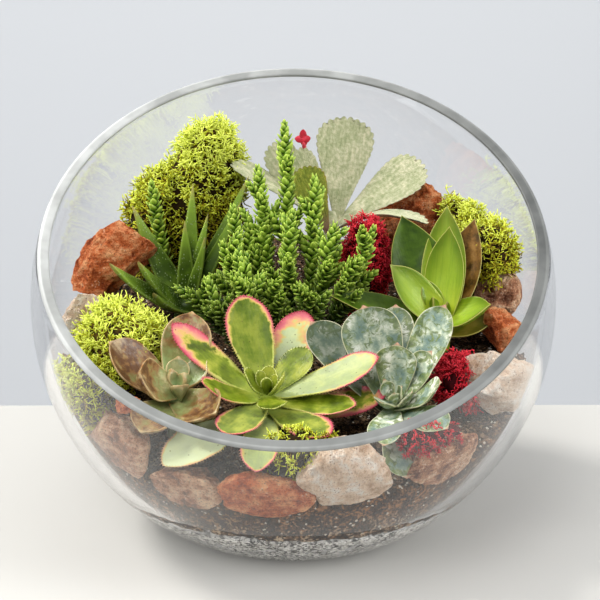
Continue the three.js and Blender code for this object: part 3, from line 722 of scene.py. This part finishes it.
def add_teeth(shape, grid, t, side, size, blush):
    """Short soft bristles along both edges of a leaf, closer together than twice their length."""
    for column, sign in ((0, 1), (grid.shape[1] // 2, -1)):
        edge = grid[:, column]
        run = np.concatenate([[0], np.cumsum(np.linalg.norm(np.diff(edge, axis=0), axis=1))])
        places = np.arange(run[-1] * TEETH_FROM, run[-1] - 0.3, size * TEETH_SPACING)
        root, ahead = [np.stack([np.interp(p, run, edge[:, i]) for i in range(3)], -1)
                       for p in (places, places + 0.2)]
        way = unit(ahead - root)
        out = unit(side * sign - way * (way @ (side * sign))[:, None])
        up = np.cross(way, out)
        base = root - out * size * 0.6
        foot = [base + (way * math.cos(a) + up * math.sin(a)) * size * 0.42 for a in (0, 2.09, 4.19)]
        point = root + (out + way * 0.35) * size * rng.uniform(0.7, 1.2, (len(places), 1))
        faces = [(0, 1, 3), (1, 2, 3), (2, 0, 3), (0, 2, 1)]
        shape.add_many(np.stack([*foot, inside_glass(point)], 1), faces, rim=0.35,
                       along=np.interp(places, run, t)[:, None], blush=blush, tone=0.5)


def curve(foot, top, lean, t):
    """Points and directions at shares t of a stem that leans aside halfway."""
    foot, top = np.array(foot, float), np.array(top, float)
    middle = (foot + top) / 2 + np.array(lean, float)
    t = np.asarray(t, float)[..., None]
    return arc(foot, middle, top, t), unit((middle - foot) * (1 - t) + (top - middle) * t)


def sideways(ways):
    """Two directions square to each of ways: side, and other with side x other = way."""
    side = unit(np.cross(ways, np.where(abs(ways[..., 2:]) > 0.9, [1.0, 0, 0], [0, 0, 1.0])))
    return side, np.cross(ways, side)


def rings_of(ways, angles):
    """Directions square to each of ways, at angles round it."""
    side, other = sideways(ways)
    return side[:, None] * np.cos(angles)[..., None] + other[:, None] * np.sin(angles)[..., None]


def stem(shape, foot, top, radius, tip_radius=None, lean=(0, 0, 0), rings=10, around=12, **values):
    """A tapering stalk with round ends."""
    tip_radius = radius if tip_radius is None else tip_radius
    t = np.linspace(0, 1, rings)
    spine, ways = curve(foot, top, lean, t)
    girth = (radius + (tip_radius - radius) * t) * np.sqrt(np.clip(1 - abs(2 * t - 1) ** 10, 0.15, 1))
    points = spine[:, None] + rings_of(ways, round_angles(around)) * girth[:, None, None]
    shape.add(np.concatenate([spine[:1], inside_glass(points.reshape(-1, 3)), spine[-1:]]),
              tube_faces(rings, around), **({"rim": 3, "along": 0.1, "tone": 0.5} | values))


# ---- rosette plants

# Leaves run from the inner ones outwards. Each is a tip and a width, then, as far as they aren't 0,
# bow, how far the base drops down the stem, how much the leaf has coloured, how dark it is painted
# as shade where it lies in shadow (on the aeonium painted paler as light if below 0, on the brown
# echeveria the greener grey of its young heart leaves), and where it faces if not along the plant's axis.
ROSETTES = {
    "aeonium": {
        "centre": (-10, -46, 67), "foot": (-9, -44, 46), "axis": (0, -0.35, 0.94), "radius": 4.2,
        "slot": "aeonium_leaf",
        "look": {"form": "spoon", "thick": 2.8, "cup": 0.14, "teeth": 0.75, "ripple": 0.5},
        "heart": [
            ((5.8, -34, 80.7), 13, 1), ((-7, -63, 68), 11, 1), ((-18, -50, 78), 9, 1), ((-4, -52, 77), 8, 1),
            ((-33.5, -60, 77), 13, 2.5, 1.5, 0.12), ((23, -58, 67.5), 12, 1.5, 2, 0.1),
            ((-25, -78, 64), 15, 0.5, 2.5, 0.15, -0.18), ((-9, -42, 77), 6, 0.6), ((-13, -46, 76.5), 5, 0.6),
            ((-6, -47, 75), 5, 0.6), ((-10, -50, 75), 4.5, 0.6),
        ],
        "leaves": [
            ((-19.5, -22, 98), 18, 1.5, 1, 0.2, 0.45), ((31.5, -48, 82.5), 16, 2.5, 1, 0.22, -0.45),
            ((-45.5, -35, 91), 14, 2, 3, 0.6), ((4, -16, 90), 17, 2, 4, 0.8, -0.6),
            ((12.5, -77, 62.5), 15, 0.5, 5, 0.3, -0.12), ((34, -50, 68), 16, 2, 7, 0.6),
            ((-13, -86, 54), 14, -2, 7, 0.12, -0.35), ((-46, -77, 52.5), 18, -3, 10, 0.07, -0.75),
        ],
    },
    "blue_echeveria": {
        "centre": (37, -50, 65), "foot": (37, -49, 46), "axis": (-0.1, -0.42, 0.9), "radius": 4.4,
        "slot": "blue_leaf",
        "look": {"form": "paddle", "thick": 3, "cup": 0.26, "keel": 0.3, "mucro": 1.2, "ripple": 0.7},
        "heart": [
            ((38.5, -45, 86), 16, 2), ((43, -58, 72), 9, 1.5), ((32, -60, 69), 9, 1),
            ((50.5, -48, 84), 12, 2, 1), ((53.5, -62, 77), 12, 2, 2), ((32, -77, 60), 13, -1, 3),
            ((34, -49, 73), 6, 1), ((37, -55, 70.5), 5, 1), ((40, -53, 72), 6, 1),
        ],
        "leaves": [
            ((26.5, -29.5, 95.5), 23, 3, 1, 0, 0.45), ((56.5, -33, 97), 16, 3, 3.5),
            ((39, -21, 93), 15, 2, 5, 0, 0.4), ((40, -76.5, 48), 14, -3, 4),
            ((7, -26, 88), 17, 2, 4, 0, 0.72), ((54, -73, 65), 14, -2, 7),
        ],
    },
    "green_echeveria": {
        "centre": (58, 5, 81), "foot": (58, 7, 64), "axis": (-0.15, -0.4, 0.9), "radius": 4.2,
        "slot": "green_leaf",
        "look": {"form": "lance", "thick": 3.4, "cup": 0.3, "keel": 0.5, "mucro": 0.6},
        "heart": [
            ((61.5, 15, 114), 16, 2), ((51, 6, 96), 9, 1, 0, 0.2), ((76, -7, 89.5), 17, 2.5, 1),
            ((55, 2, 89), 6, 1), ((60, 0, 88), 5, 1),
        ],
        "leaves": [
            ((38, -3, 104), 15, 2.5, 1, 0, 0, (0.5, -0.8, 0.35)), ((43.5, 28, 115), 23, 4, 2, 0, 1),
            ((61.5, 29, 118.5), 18, 3, 3.5, 0.35), ((72, 23, 115), 18, 4, 4, 1),
            ((79, 2, 80), 15, 1, 6, 0.7), ((15, -4, 92), 16, 0, 6, 0, 0.9),
        ],
    },
    "brown_echeveria": {
        "centre": (-43.5, -48, 70), "foot": (-43, -46, 49), "axis": (0.1, -0.32, 0.94), "radius": 4.4,
        "slot": "brown_leaf",
        "look": {"form": "egg", "thick": 5.2, "cup": 0.34, "keel": 0.9, "mucro": 0.9, "ripple": 0.45},
        "heart": [
            ((-43, -42, 80), 9, 1, 0, 0, 0.6), ((-33, -41, 78), 10, 1.5, 0, 0, 0.75),
            ((-41, -56, 74), 7, 1, 0, 0, 0.6), ((-45, -48, 77), 5, 1, 0, 0, 0.6),
            ((-41, -49, 76), 5, 1, 0, 0, 0.6),
        ],
        "leaves": [
            ((-56, -61, 81), 17, 2.5, 1, 0.7, 0, (0.3, -0.6, 0.7)), ((-38.5, -25, 92), 19, 3, 1.5, 0.1),
            ((-28.5, -70, 69), 18, 2, 3.5, 0.8, 0, (0, -0.7, 0.7)), ((-68, -45, 87), 21, 3.5, 3, 0.9),
            ((-54, -73, 64), 18, 0, 7, 0.3),
        ],
    },
}
BASE_REACH = 0.04  # how far from the stem's middle a large leaf begins, as a share of the way to its tip


def rosette_leaf(shape, plant, reach, tip, width, bow=0, drop=0, blush=0, dark=0, face=None):
    centre = np.array(plant["centre"], float) - [0, 0, drop]
    base = centre + (np.array(tip) - centre) * reach
    leaf(shape, base, tip, width, bow, face or plant["axis"], blush, dark, **plant["look"])


def add_rosette(name, plant):
    heart = Shape()
    stem(heart, plant["foot"], plant["centre"], plant["radius"])
    for row in plant["heart"]:
        rosette_leaf(heart, plant, 0, *row)
    heart.piece(f"{name}_heart", plant["slot"])
    for index, row in enumerate(plant["leaves"]):
        blade = Shape()
        rosette_leaf(blade, plant, BASE_REACH, *row)
        blade.piece(f"{name}_leaf_{index + 1}", plant["slot"])


# ---- felted kalanchoe

# Base, tip, width, bow, where the leaf faces, and how olive it is.
KALANCHOE_LEAVES = [
    ((18, 48, 108), (22, 53, 149.5), 23, 1.5, (0, -1, 0.2)),
    ((18, 46.5, 107), (53, 59, 129), 19, 1, (-0.5, -0.8, 0.5)),
    ((17.5, 45, 105), (54, 37, 109.5), 15, -5, (0, 0.1, 1)),
    ((14, 44, 104), (3.5, 36, 133), 15, 1, (0.1, -1, 0.1), 1),
    ((12, 49, 107), (-25, 51, 131), 11, -2, (0.3, -0.4, 0.9)),
]
KALANCHOE_YOUNG = [
    ((15, 47, 109), (2, 47, 138), 10, 1.5, (0.2, -1, 0.1)),
    ((15, 48, 108), (-9, 58, 137), 15, 2, (0.4, -1, 0.2)),
]
KALANCHOE_STALK = {"foot": (17, 43, 70), "top": (16, 47, 112), "radius": 3.6, "tip_radius": 3,
                   "lean": (-2, 0, 0)}
KALANCHOE_LOOK = {"form": "fan", "thick": 2.2, "cup": 0.15, "scallops": 46, "rings": 92, "around": 32}
BUD_STALK = {"foot": (9.5, 50.5, 118), "top": (4, 51, 141), "radius": 0.9, "lean": (-1, 0, 0)}
# Each from the stalk's top towards the petal's tip.
BUD_PETALS = [(-3.2, 0, 0.5), (2.8, -1, 1), (0, 0, 4.2), (1, 1, -2.5)]
PETAL_LOOK = {"thick": 2.2, "mucro": 0.4, "rings": 14, "around": 12}


def add_kalanchoe():
    stalk = Shape()
    stem(stalk, **KALANCHOE_STALK)
    for row in KALANCHOE_YOUNG:
        leaf(stalk, *row, **KALANCHOE_LOOK)
    stalk.piece("kalanchoe_stem", "felted_leaf")
    for index, row in enumerate(KALANCHOE_LEAVES):
        blade = Shape()
        leaf(blade, *row, **KALANCHOE_LOOK)
        blade.piece(f"kalanchoe_leaf_{index + 1}", "felted_leaf")
    bud = Shape()
    stem(bud, **BUD_STALK)
    for petal in np.array(BUD_PETALS):
        base, tip = BUD_STALK["top"] - petal * 0.3, BUD_STALK["top"] + petal * 0.95
        leaf(bud, base, tip, 3, 0.3, (0, -1, 0.3), **PETAL_LOOK)
    bud.piece("kalanchoe_bud", "red_bud")


# ---- haworthia

HAWORTHIA_CROWN = {"foot": (-43, 29, 70), "top": (-43.5, 28, 81), "radius": 6, "tip_radius": 4}
HAWORTHIA_BASE = (-43.5, 28, 77)
HAWORTHIA_FACE = (0, -0.5, 0.8)
# Tip, width and bow.
HAWORTHIA_LEAVES = [
    ((-64.5, 35, 117), 11, 3), ((-71.5, 9, 101), 11, 3), ((-60.5, 11, 101), 10, 2),
    ((-40.5, 39, 125), 9, 1), ((-34.5, 34, 114), 7, 1), ((-43.5, 29, 112), 8, 1),
    ((-35.5, 23, 107), 6, 1.5), ((-18.5, 43, 127), 9, 2), ((-21.5, 37, 118), 7, 2), ((-55, 12, 88), 9, 2),
]
HAWORTHIA_LOOK = {"form": "spike", "thick": 4.4, "keel": 0.5, "mucro": 1}


def add_haworthia():
    plant = Shape()
    stem(plant, **HAWORTHIA_CROWN)
    for tip, width, bow in HAWORTHIA_LEAVES:
        leaf(plant, HAWORTHIA_BASE, tip, width, bow, HAWORTHIA_FACE, **HAWORTHIA_LOOK)
    plant.piece("haworthia", "speckled_leaf")


# ---- watch-chain plant

CHAIN_CROWN = {"foot": (-24, 5, 68), "top": (16, 12, 70), "radius": 10}
# Foot, top, and how far the shoot leans aside halfway.
BRANCHED_SHOOTS = [
    ((-2, 14, 66), (-3.5, 37, 150), (1, 2, 4)), ((-8, 12, 66), (-14, 30, 133.5), (0, 2, 4)),
    ((4, 12, 66), (8.5, 29, 130), (3, 0, 4)), ((0, 8, 66), (-0.5, 16, 119), (-3, 0, 3)),
    ((6, 8, 66), (16, 14, 114.5), (0, -2, 3)), ((10, 8, 66), (31, 8, 115), (2, 0, -4)),
    ((-10, 6, 66), (-22.5, 2, 105.5), (2, -2, 2)), ((-14, 8, 66), (-27.5, 10, 108.5), (-2, 0, 2)),
    ((-6, 2, 66), (-9, -6, 97), (0, -3, 1)), ((4, 4, 66), (4.5, -9, 96), (3, -3, 1)),
    ((10, 6, 66), (22, 3, 103.5), (3, -2, 0)), ((-18, 4, 66), (-40, -3, 93), (-2, -3, 1)),
    ((-18, 2, 66), (-30, -16, 92), (0, -4, 1)), ((-12, 2, 66), (-17, -10, 99), (-3, -3, 0)),
]
PLAIN_SHOOTS = [
    ((-16, 12, 70), (-50, 39, 82), (12, 14, -2)), ((-50, 39, 80), (-57, 38, 125), (-1, 0, 0)),
    ((-14, 15, 66), (-24, 24, 119), (-2, 2, 2)), ((-12, 14, 66), (-18.5, 24, 111), (0, 2, 2)),
    ((-12, 12, 66), (-15, 20, 103.5), (1, 2, 0)), ((-14, 12, 66), (-21, 16, 104), (-2, 0, 2)),
    ((-10, 16, 66), (-12.5, 26, 116), (0, 2, 2)),
]
FORKS = np.arange(0.3, 0.84, 0.1)  # where side shoots fork off, as shares of a shoot's length
FORK_REACH = (9, 18)
LOW_SHOOTS = 26
LOW_REACH = (13, 24)
CORE_RADIUS = 0.9
SCALE_LENGTH = 4.6
SCALE_WIDTH = 4.875  # of which a scale's form takes up two thirds
SCALE_THICKNESS = 0.22  # twice its half thickness, against its length
SCALE_CURL = 0.28  # how far a scale's tip curves in towards the stem, against its length
SCALES_FROM = 0.12  # the share of a shoot that stays bare, in the crown
PAIR_STEP = 1.1
PAIR_TURN = 1.79  # a little over a quarter turn, so that the four ranks wind round the stem
YOUNG_LENGTH = 9  # over this length, up to a shoot's tip, scales get smaller and lie closer
# Scales are painted darker low on the plant, as painted shade, fading out between these heights.
DARK_BELOW, LIT_ABOVE = 76, 104  # heights


def scale_template(rings=3, around=6):
    """One scale leaf, 1 long, along +X, its width along Y and its hollow face up."""
    t = (0.5 - 0.5 * np.cos(math.pi * np.arange(1, rings + 1) / (rings + 1)))[:, None]
    across, up = np.cos(round_angles(around)), np.sin(round_angles(around))
    half = width_at("scale", t) * SCALE_WIDTH / SCALE_LENGTH / 2
    x = np.broadcast_to(t, (rings, around))
    z = SCALE_THICKNESS * np.sqrt(t * (1 - t)) * up + 0.35 * half * across ** 2 + SCALE_CURL * x * x
    body = np.stack([x, half * across, z], -1).reshape(-1, 3)
    return np.concatenate([[[0, 0, 0]], body, [[1, 0, SCALE_CURL]]]), tube_faces(rings, around)


def add_scales(shape, foot, top, lean):
    """A shoot's pairs of scale leaves, each pair turned against the one below."""
    template, faces = scale_template()
    length = np.linalg.norm(np.subtract(top, foot)) * (1 - SCALES_FROM)
    pairs = max(int(length / PAIR_STEP), 4)
    t = SCALES_FROM + (1 - SCALES_FROM) * np.linspace(0, 1, pairs)
    spine, ways = curve(foot, top, lean, t)
    twist = np.arange(pairs) * PAIR_TURN + rng.uniform(0, math.pi)
    outs = rings_of(ways, twist[:, None] + [0, math.pi])
    young = np.clip((1 - t) / (1 - SCALES_FROM) * length / YOUNG_LENGTH, 0, 1)
    # Painted shade: how far each pair stands above the dark low part of the plant.
    depth = np.clip((spine[:, 2] - DARK_BELOW) / (LIT_ABOVE - DARK_BELOW), 0, 1)
    for out in (outs[:, 0], outs[:, 1]):
        spread = (0.4 + 0.62 * young ** 0.7) * rng.uniform(0.9, 1.1, pairs)
        x_axis = unit(out * np.sin(spread)[:, None] + ways * np.cos(spread)[:, None])
        y_axis = unit(np.cross(ways, out))
        axes = np.stack([x_axis, y_axis, np.cross(x_axis, y_axis)], 1)
        size = SCALE_LENGTH * (0.6 + 0.4 * young) * rng.uniform(0.92, 1.08, pairs)
        origin = spine + out * CORE_RADIUS * 0.5
        points = origin[:, None] + np.einsum("vk,pkj->pvj", template, axes) * size[:, None, None]
        shape.add_many(inside_glass(points), faces, along=template[:, 0],
                       tone=rng.uniform(0, 1, pairs)[:, None], depth=depth[:, None])


def side_shoots(foot, top, lean):
    """Short shoots that fork off a long one, up and outwards."""
    found = []
    for share in FORKS:
        share += rng.uniform(-0.04, 0.04)
        start, way = curve(foot, top, lean, share)
        turn = rng.uniform(0, math.tau)
        side, other = sideways(way)
        out = side * math.cos(turn) + other * math.sin(turn)
        reach = rng.uniform(*FORK_REACH) * (1.25 - 0.6 * share)
        found.append((start, start + unit(way * 0.75 + out * 0.65 + [0, 0, 0.35]) * reach, way * 0.8))
    return found


def low_shoot():
    """A short shoot on the crown, which leans out more the further out it stands."""
    turn, far = rng.uniform(0, math.tau), rng.uniform(0.2, 1)
    out = np.array([math.cos(turn), math.sin(turn), 0])
    start = out * far * [18, 9, 0] + [-4, 8, 68]
    return start, start + out * 7 * far + [0, 0, rng.uniform(*LOW_REACH)], out * 1.5


def add_watch_chain():
    plant = Shape()
    stem(plant, **CHAIN_CROWN)
    shoots = BRANCHED_SHOOTS + PLAIN_SHOOTS
    for shoot in BRANCHED_SHOOTS:
        shoots += side_shoots(*shoot)
    for foot, top, lean in shoots + [low_shoot() for _ in range(LOW_SHOOTS)]:
        stem(plant, foot, top, CORE_RADIUS, 0.6, lean, around=6, depth=0.2, along=0.2)
        add_scales(plant, foot, top, lean)
    plant.piece("watch_chain", "scale_leaf")


# ---- skins made from CAD nodes

def fine_mesh(node, voxel, smoothing=2):
    """A CAD node's solid as an even net of small faces: points and normals in mm, and faces."""
    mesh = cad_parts[node].data.copy()
    work = show("work", mesh)
    work.modifiers.new("weld", "WELD").merge_threshold = 1e-5
    remesh = work.modifiers.new("remesh", "REMESH")
    remesh.mode = "VOXEL"
    remesh.voxel_size = voxel * MM
    work.modifiers.new("smooth", "SMOOTH").iterations = smoothing
    bpy.context.view_layer.update()
    ready = work.evaluated_get(bpy.context.evaluated_depsgraph_get()).to_mesh()
    points, normals = np.zeros((2, len(ready.vertices) * 3), np.float32)
    ready.vertices.foreach_get("co", points)
    ready.vertex_normals.foreach_get("vector", normals)
    faces = [p.vertices[:] for p in ready.polygons]
    bpy.data.objects.remove(work)
    bpy.data.meshes.remove(mesh)
    return points.reshape(-1, 3) / MM, normals.reshape(-1, 3), faces


def roughened(points, normals, steps, seed):
    """Points pushed along their normals by noise, and how far: steps is [(size, height, noise)] in mm."""
    relief = np.zeros(len(points))
    for size, height, kind in steps:
        relief += kind(points, size, (seed * 13.7 + size, seed * 7.9, seed * 3.1)) * height
    return inside_glass(points + normals * relief[:, None]), relief


def skin_samples(node, count):
    """Points spread evenly over a CAD node's skin, and the skin's direction there, in mm."""
    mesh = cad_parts[node].data
    mesh.calc_loop_triangles()
    places = np.array([v.co for v in mesh.vertices]) / MM
    corners = np.array([t.vertices[:] for t in mesh.loop_triangles])
    a, b, c = [places[corners[:, i]] for i in range(3)]
    across = np.cross(b - a, c - a)
    area = np.linalg.norm(across, axis=1)
    pick = rng.choice(len(area), count, p=area / area.sum())
    s, t = rng.uniform(size=(2, count, 1))
    s, t = np.where(s + t > 1, 1 - s, s), np.where(s + t > 1, 1 - t, t)
    return a[pick] + (b - a)[pick] * s + (c - a)[pick] * t, unit(across[pick])


# ---- stones

STONES = {
    "stone_red_back_left": "red_stone", "stone_red_back_right": "red_stone", "stone_red_front": "red_stone",
    "pebble_terracotta": "red_stone", "stone_cream_left": "cream_stone", "stone_cream_right": "cream_stone",
    "stone_cream_front": "cream_stone", "stone_brown_right": "brown_stone",
    "stone_orange_right": "red_stone", "stone_brown_front_left": "brown_stone",
    "stone_pink_front_left": "brown_stone", "stone_tan_front_right": "brown_stone",
}
STONE_VOXEL = 0.9
STONE_CHIPS = 18
CHIP_SHARE = 0.13  # the deepest chip, as a share of the stone's least size
STONE_STEPS = [(11, 0.9, crags), (3.5, 0.45, crags), (1.4, 0.45, waves)]
PRESSED = 0.65  # how much flatter a stone is where it is pressed against the glass


def chipped(points, count, depth):
    """Points cut back to flat faces on every side, as where chips have broken off a rock."""
    for way in unit(rng.normal(size=(count, 3))):
        height = points @ way
        over = (height - (height.max() - depth * rng.uniform(0.3, 1))).clip(0)
        points = points - over[:, None] * way
    return points


def add_stones():
    for index, (node, slot) in enumerate(STONES.items()):
        points, normals, faces = fine_mesh(node, STONE_VOXEL, smoothing=0)
        broken = chipped(points, STONE_CHIPS, CHIP_SHARE * np.ptp(points, axis=0).min())
        broken, relief = roughened(broken, normals, STONE_STEPS, index + 1)
        free = 1 - PRESSED * wall_share(points)[:, None]
        stone = Shape()
        stone.add(inside_glass(points + (broken - points) * free), faces, relief=relief)
        stone.piece(node, slot, smooth=False)


# ---- moss

# Tufts, their length and thread radius, and how brightly the cushion is painted at its foot and its crown,
# as painted light and shade by height.
MOSSES = {
    "moss_back_left": (1380, 8.2, 0.31, (-0.6, 1.15)), "moss_left": (820, 8.8, 0.3, (-0.1, 0.95)),
    "moss_right_back": (740, 8.0, 0.3, (-0.7, 0.72)), "moss_front": (230, 5, 0.25, (0, 0.5)),
    "red_moss_centre": (570, 4.8, 0.25, (0.1, 0.8)), "red_moss_right": (430, 4.8, 0.25, (0.3, 0.9)),
    "red_moss_front": (200, 3.0, 0.25, (0.3, 0.8)),
}
MOSS_VOXEL = 1.7
MOSS_STEPS = [(5, 1.0, waves), (2.2, 0.9, waves)]
# The dark felt is painted shade: a dark inner skin that stands for the shade among the threads.
CUSHION_SINK = 2.8  # how far the dark felt lies inside the CAD's cushion
TUFT_SINK = 0.7  # how far inside it the tufts start, against their length
CLUMP_SIZE, CLUMP_HEIGHT = 6.5, 2.6
LOWEST_WAY = -0.8  # tufts that would point further down are left out
TWIG_TAPER = 0.75
ROOT_LEVELS, FORK_LEVELS, TWIG_LEVELS = (0.05, 0.3), (0.25, 0.6), (0.45, 1)  # depth at start and end


def twigs(shape, starts, ways, lengths, radius, levels, tone):
    """Straight three-sided threads with blunt ends."""
    ring = rings_of(ways, rng.uniform(0, math.tau, (len(starts), 1)) + round_angles(3)) * radius
    ends = starts + ways * lengths[:, None]
    points = np.concatenate([starts[:, None] + ring, ends[:, None] + ring * TWIG_TAPER], 1)
    sides = [(i, (i + 1) % 3, (i + 1) % 3 + 3, i + 3) for i in range(3)]
    shape.add_many(inside_glass(points), [*sides, (0, 2, 1), (3, 4, 5)], depth=np.repeat(levels, 3),
                   tone=tone[:, None])


def branches(shape, starts, ways, lengths, radius, levels, tone):
    """Bent three-sided threads that end in a point. Gives their middles, ends and last directions."""
    bend = unit(ways + rng.normal(0, 0.35, ways.shape))
    middle = starts + ways * (lengths * 0.5)[:, None]
    ends = middle + bend * (lengths * 0.5)[:, None]
    ring = rings_of(unit(ends - starts), round_angles(3)) * radius
    rings = [starts[:, None] + ring, middle[:, None] + ring * 0.85, (ends + bend * radius)[:, None]]
    sides = [(i, (i + 1) % 3, (i + 1) % 3 + 3) for i in range(3)]
    sides += [(i, (i + 1) % 3 + 3, i + 3) for i in range(3)]
    sides += [(i + 3, (i + 1) % 3 + 3, 6) for i in range(3)] + [(0, 2, 1)]
    low, high = levels
    shape.add_many(inside_glass(np.concatenate(rings, 1)), sides,
                   depth=[low] * 3 + [(low + high) / 2] * 3 + [high], tone=tone[:, None])
    return middle, ends, bend


def tufts(shape, starts, ways, lengths, radius, tone):
    """Antler-like sprays: a thread that forks into three, each with three blunt twigs."""
    count = len(lengths)
    middle, ends, bend = branches(shape, starts, ways, lengths * 0.42, radius, ROOT_LEVELS, tone)
    for fork in range(3):
        way = unit(bend + rng.normal(0, 0.85, ways.shape))
        at = ends if fork < 2 else (middle + ends) / 2
        half, tips, turned = branches(shape, at, way, lengths * rng.uniform(0.26, 0.4, count),
                                      radius * 0.88, FORK_LEVELS, tone)
        for twig in range(3):
            out = unit(turned + rng.normal(0, 0.95, ways.shape))
            twigs(shape, tips if twig < 2 else half, out, lengths * rng.uniform(0.2, 0.38, count),
                  radius * 0.85, TWIG_LEVELS, tone)


def add_moss(node, slot, count, length, radius, lit):
    cushion = Shape()
    points, normals, faces = fine_mesh(node, MOSS_VOXEL)
    low, high = points[:, 2].min(), points[:, 2].max()

    def lit_at(z):
        return np.interp((z - low) / (high - low), (0, 1), lit)

    points = roughened(points - normals * CUSHION_SINK, normals, MOSS_STEPS, seed=31)[0]
    # The dark inner skin is painted shade among the threads, lighter higher up by painted light.
    cushion.add(points, faces, depth=0.02, tone=0.25 + 0.35 * lit_at(points[:, 2]))
    starts, ways = skin_samples(node, count)
    keep = ways[:, 2] > LOWEST_WAY
    starts, ways = starts[keep], ways[keep]
    ways = unit(ways + rng.normal(0, 0.3, ways.shape))
    clump = waves(starts, CLUMP_SIZE) * 0.5
    # Painted light and shade: tufts higher on the cushion and on raised clumps are lighter.
    tone = np.clip(lit_at(starts[:, 2]) + clump * 0.7 + rng.normal(0, 0.1, len(starts)), 0, 1)
    lengths = length * rng.uniform(0.75, 1.2, len(starts))
    sink = TUFT_SINK * length - clump * CLUMP_HEIGHT
    tufts(cushion, starts - ways * sink[:, None], ways, lengths, radius, tone)
    cushion.piece(node, slot)


# ---- soil and grit

SOIL_GAP = 1.6  # the soil stays this far from the glass, so that stones pressed to it show
SOIL_VOXEL = 2.1
SOIL_STEPS = [(7, 0.6, waves), (2.6, 0.8, waves)]
GRITTY_TOP = 32  # grit is mixed into the soil against the glass up to this height
GRITTY_FADE = 12
SOIL_CRUMBS = {"count": 2600, "sizes": (0.5, 1.3), "tone": 0}
WHITE_CRUMBS = {"count": 160, "sizes": (0.5, 1.2), "tone": 1}
GRIT_VOXEL = 2
GRIT_STEPS = [(2.4, 0.5, waves)]
WETTED = 1  # how far the grit's skin is moved out, so that no gap is seen between it and the glass


def add_crumbs(shape, node, count, sizes, tone):
    """Small broken lumps lying on the top of a node."""
    places, ways = skin_samples(node, count)
    places = places[(ways[:, 2] > 0.5) & (wall_share(places) < 0.5)]
    size = rng.uniform(*sizes, (len(places), 1, 1))
    lump = np.array([[1, 0, 0], [0, 1, 0], [-1, 0, 0], [0, -1, 0], [0, 0, 1], [0, 0, -1]]) * [1, 0.8, 0.6]
    lumps = lump * size + rng.normal(0, 0.18, (len(places), 6, 3)) * size
    sides = [(0, 1, 4), (1, 2, 4), (2, 3, 4), (3, 0, 4), (1, 0, 5), (2, 1, 5), (3, 2, 5), (0, 3, 5)]
    shape.add_many(inside_glass((places + [0, 0, 0.5])[:, None] + lumps), sides, dry=0.25, tone=tone)


def add_soil():
    points, normals, faces = fine_mesh("soil", SOIL_VOXEL)
    points = roughened(points, normals, SOIL_STEPS, seed=21)[0]
    dry = wall_share(points)
    gritty = dry * np.clip((GRITTY_TOP - points[:, 2]) / GRITTY_FADE, 0, 1)
    soil = Shape()
    points = pressed(inside_glass(points, SOIL_GAP), gritty * (SOIL_GAP + WETTED))
    soil.add(points, faces, dry=dry, gritty=gritty)
    for crumbs in (SOIL_CRUMBS, WHITE_CRUMBS):
        add_crumbs(soil, "soil", **crumbs)
    soil.piece("soil", "potting_soil")


def add_grit():
    points, normals, faces = fine_mesh("grit_layer", GRIT_VOXEL)
    points = roughened(points, normals, GRIT_STEPS, seed=22)[0]
    points = pressed(points, WETTED * wall_share(points))
    points[:, 2] -= WETTED * (points[:, 2] < FLOOR_THICKNESS + 2)
    grit = Shape()
    grit.add(points, faces)
    grit.piece("grit_layer", "drainage_grit")


# ---- everything

mix_paints()
add_stage()
add_bowl()
for name, plant in ROSETTES.items():
    add_rosette(name, plant)
add_kalanchoe()
add_haworthia()
add_watch_chain()
add_stones()
for name, look in MOSSES.items():
    add_moss(name, "red_moss" if name.startswith("red") else "green_moss", *look)
add_soil()
add_grit()
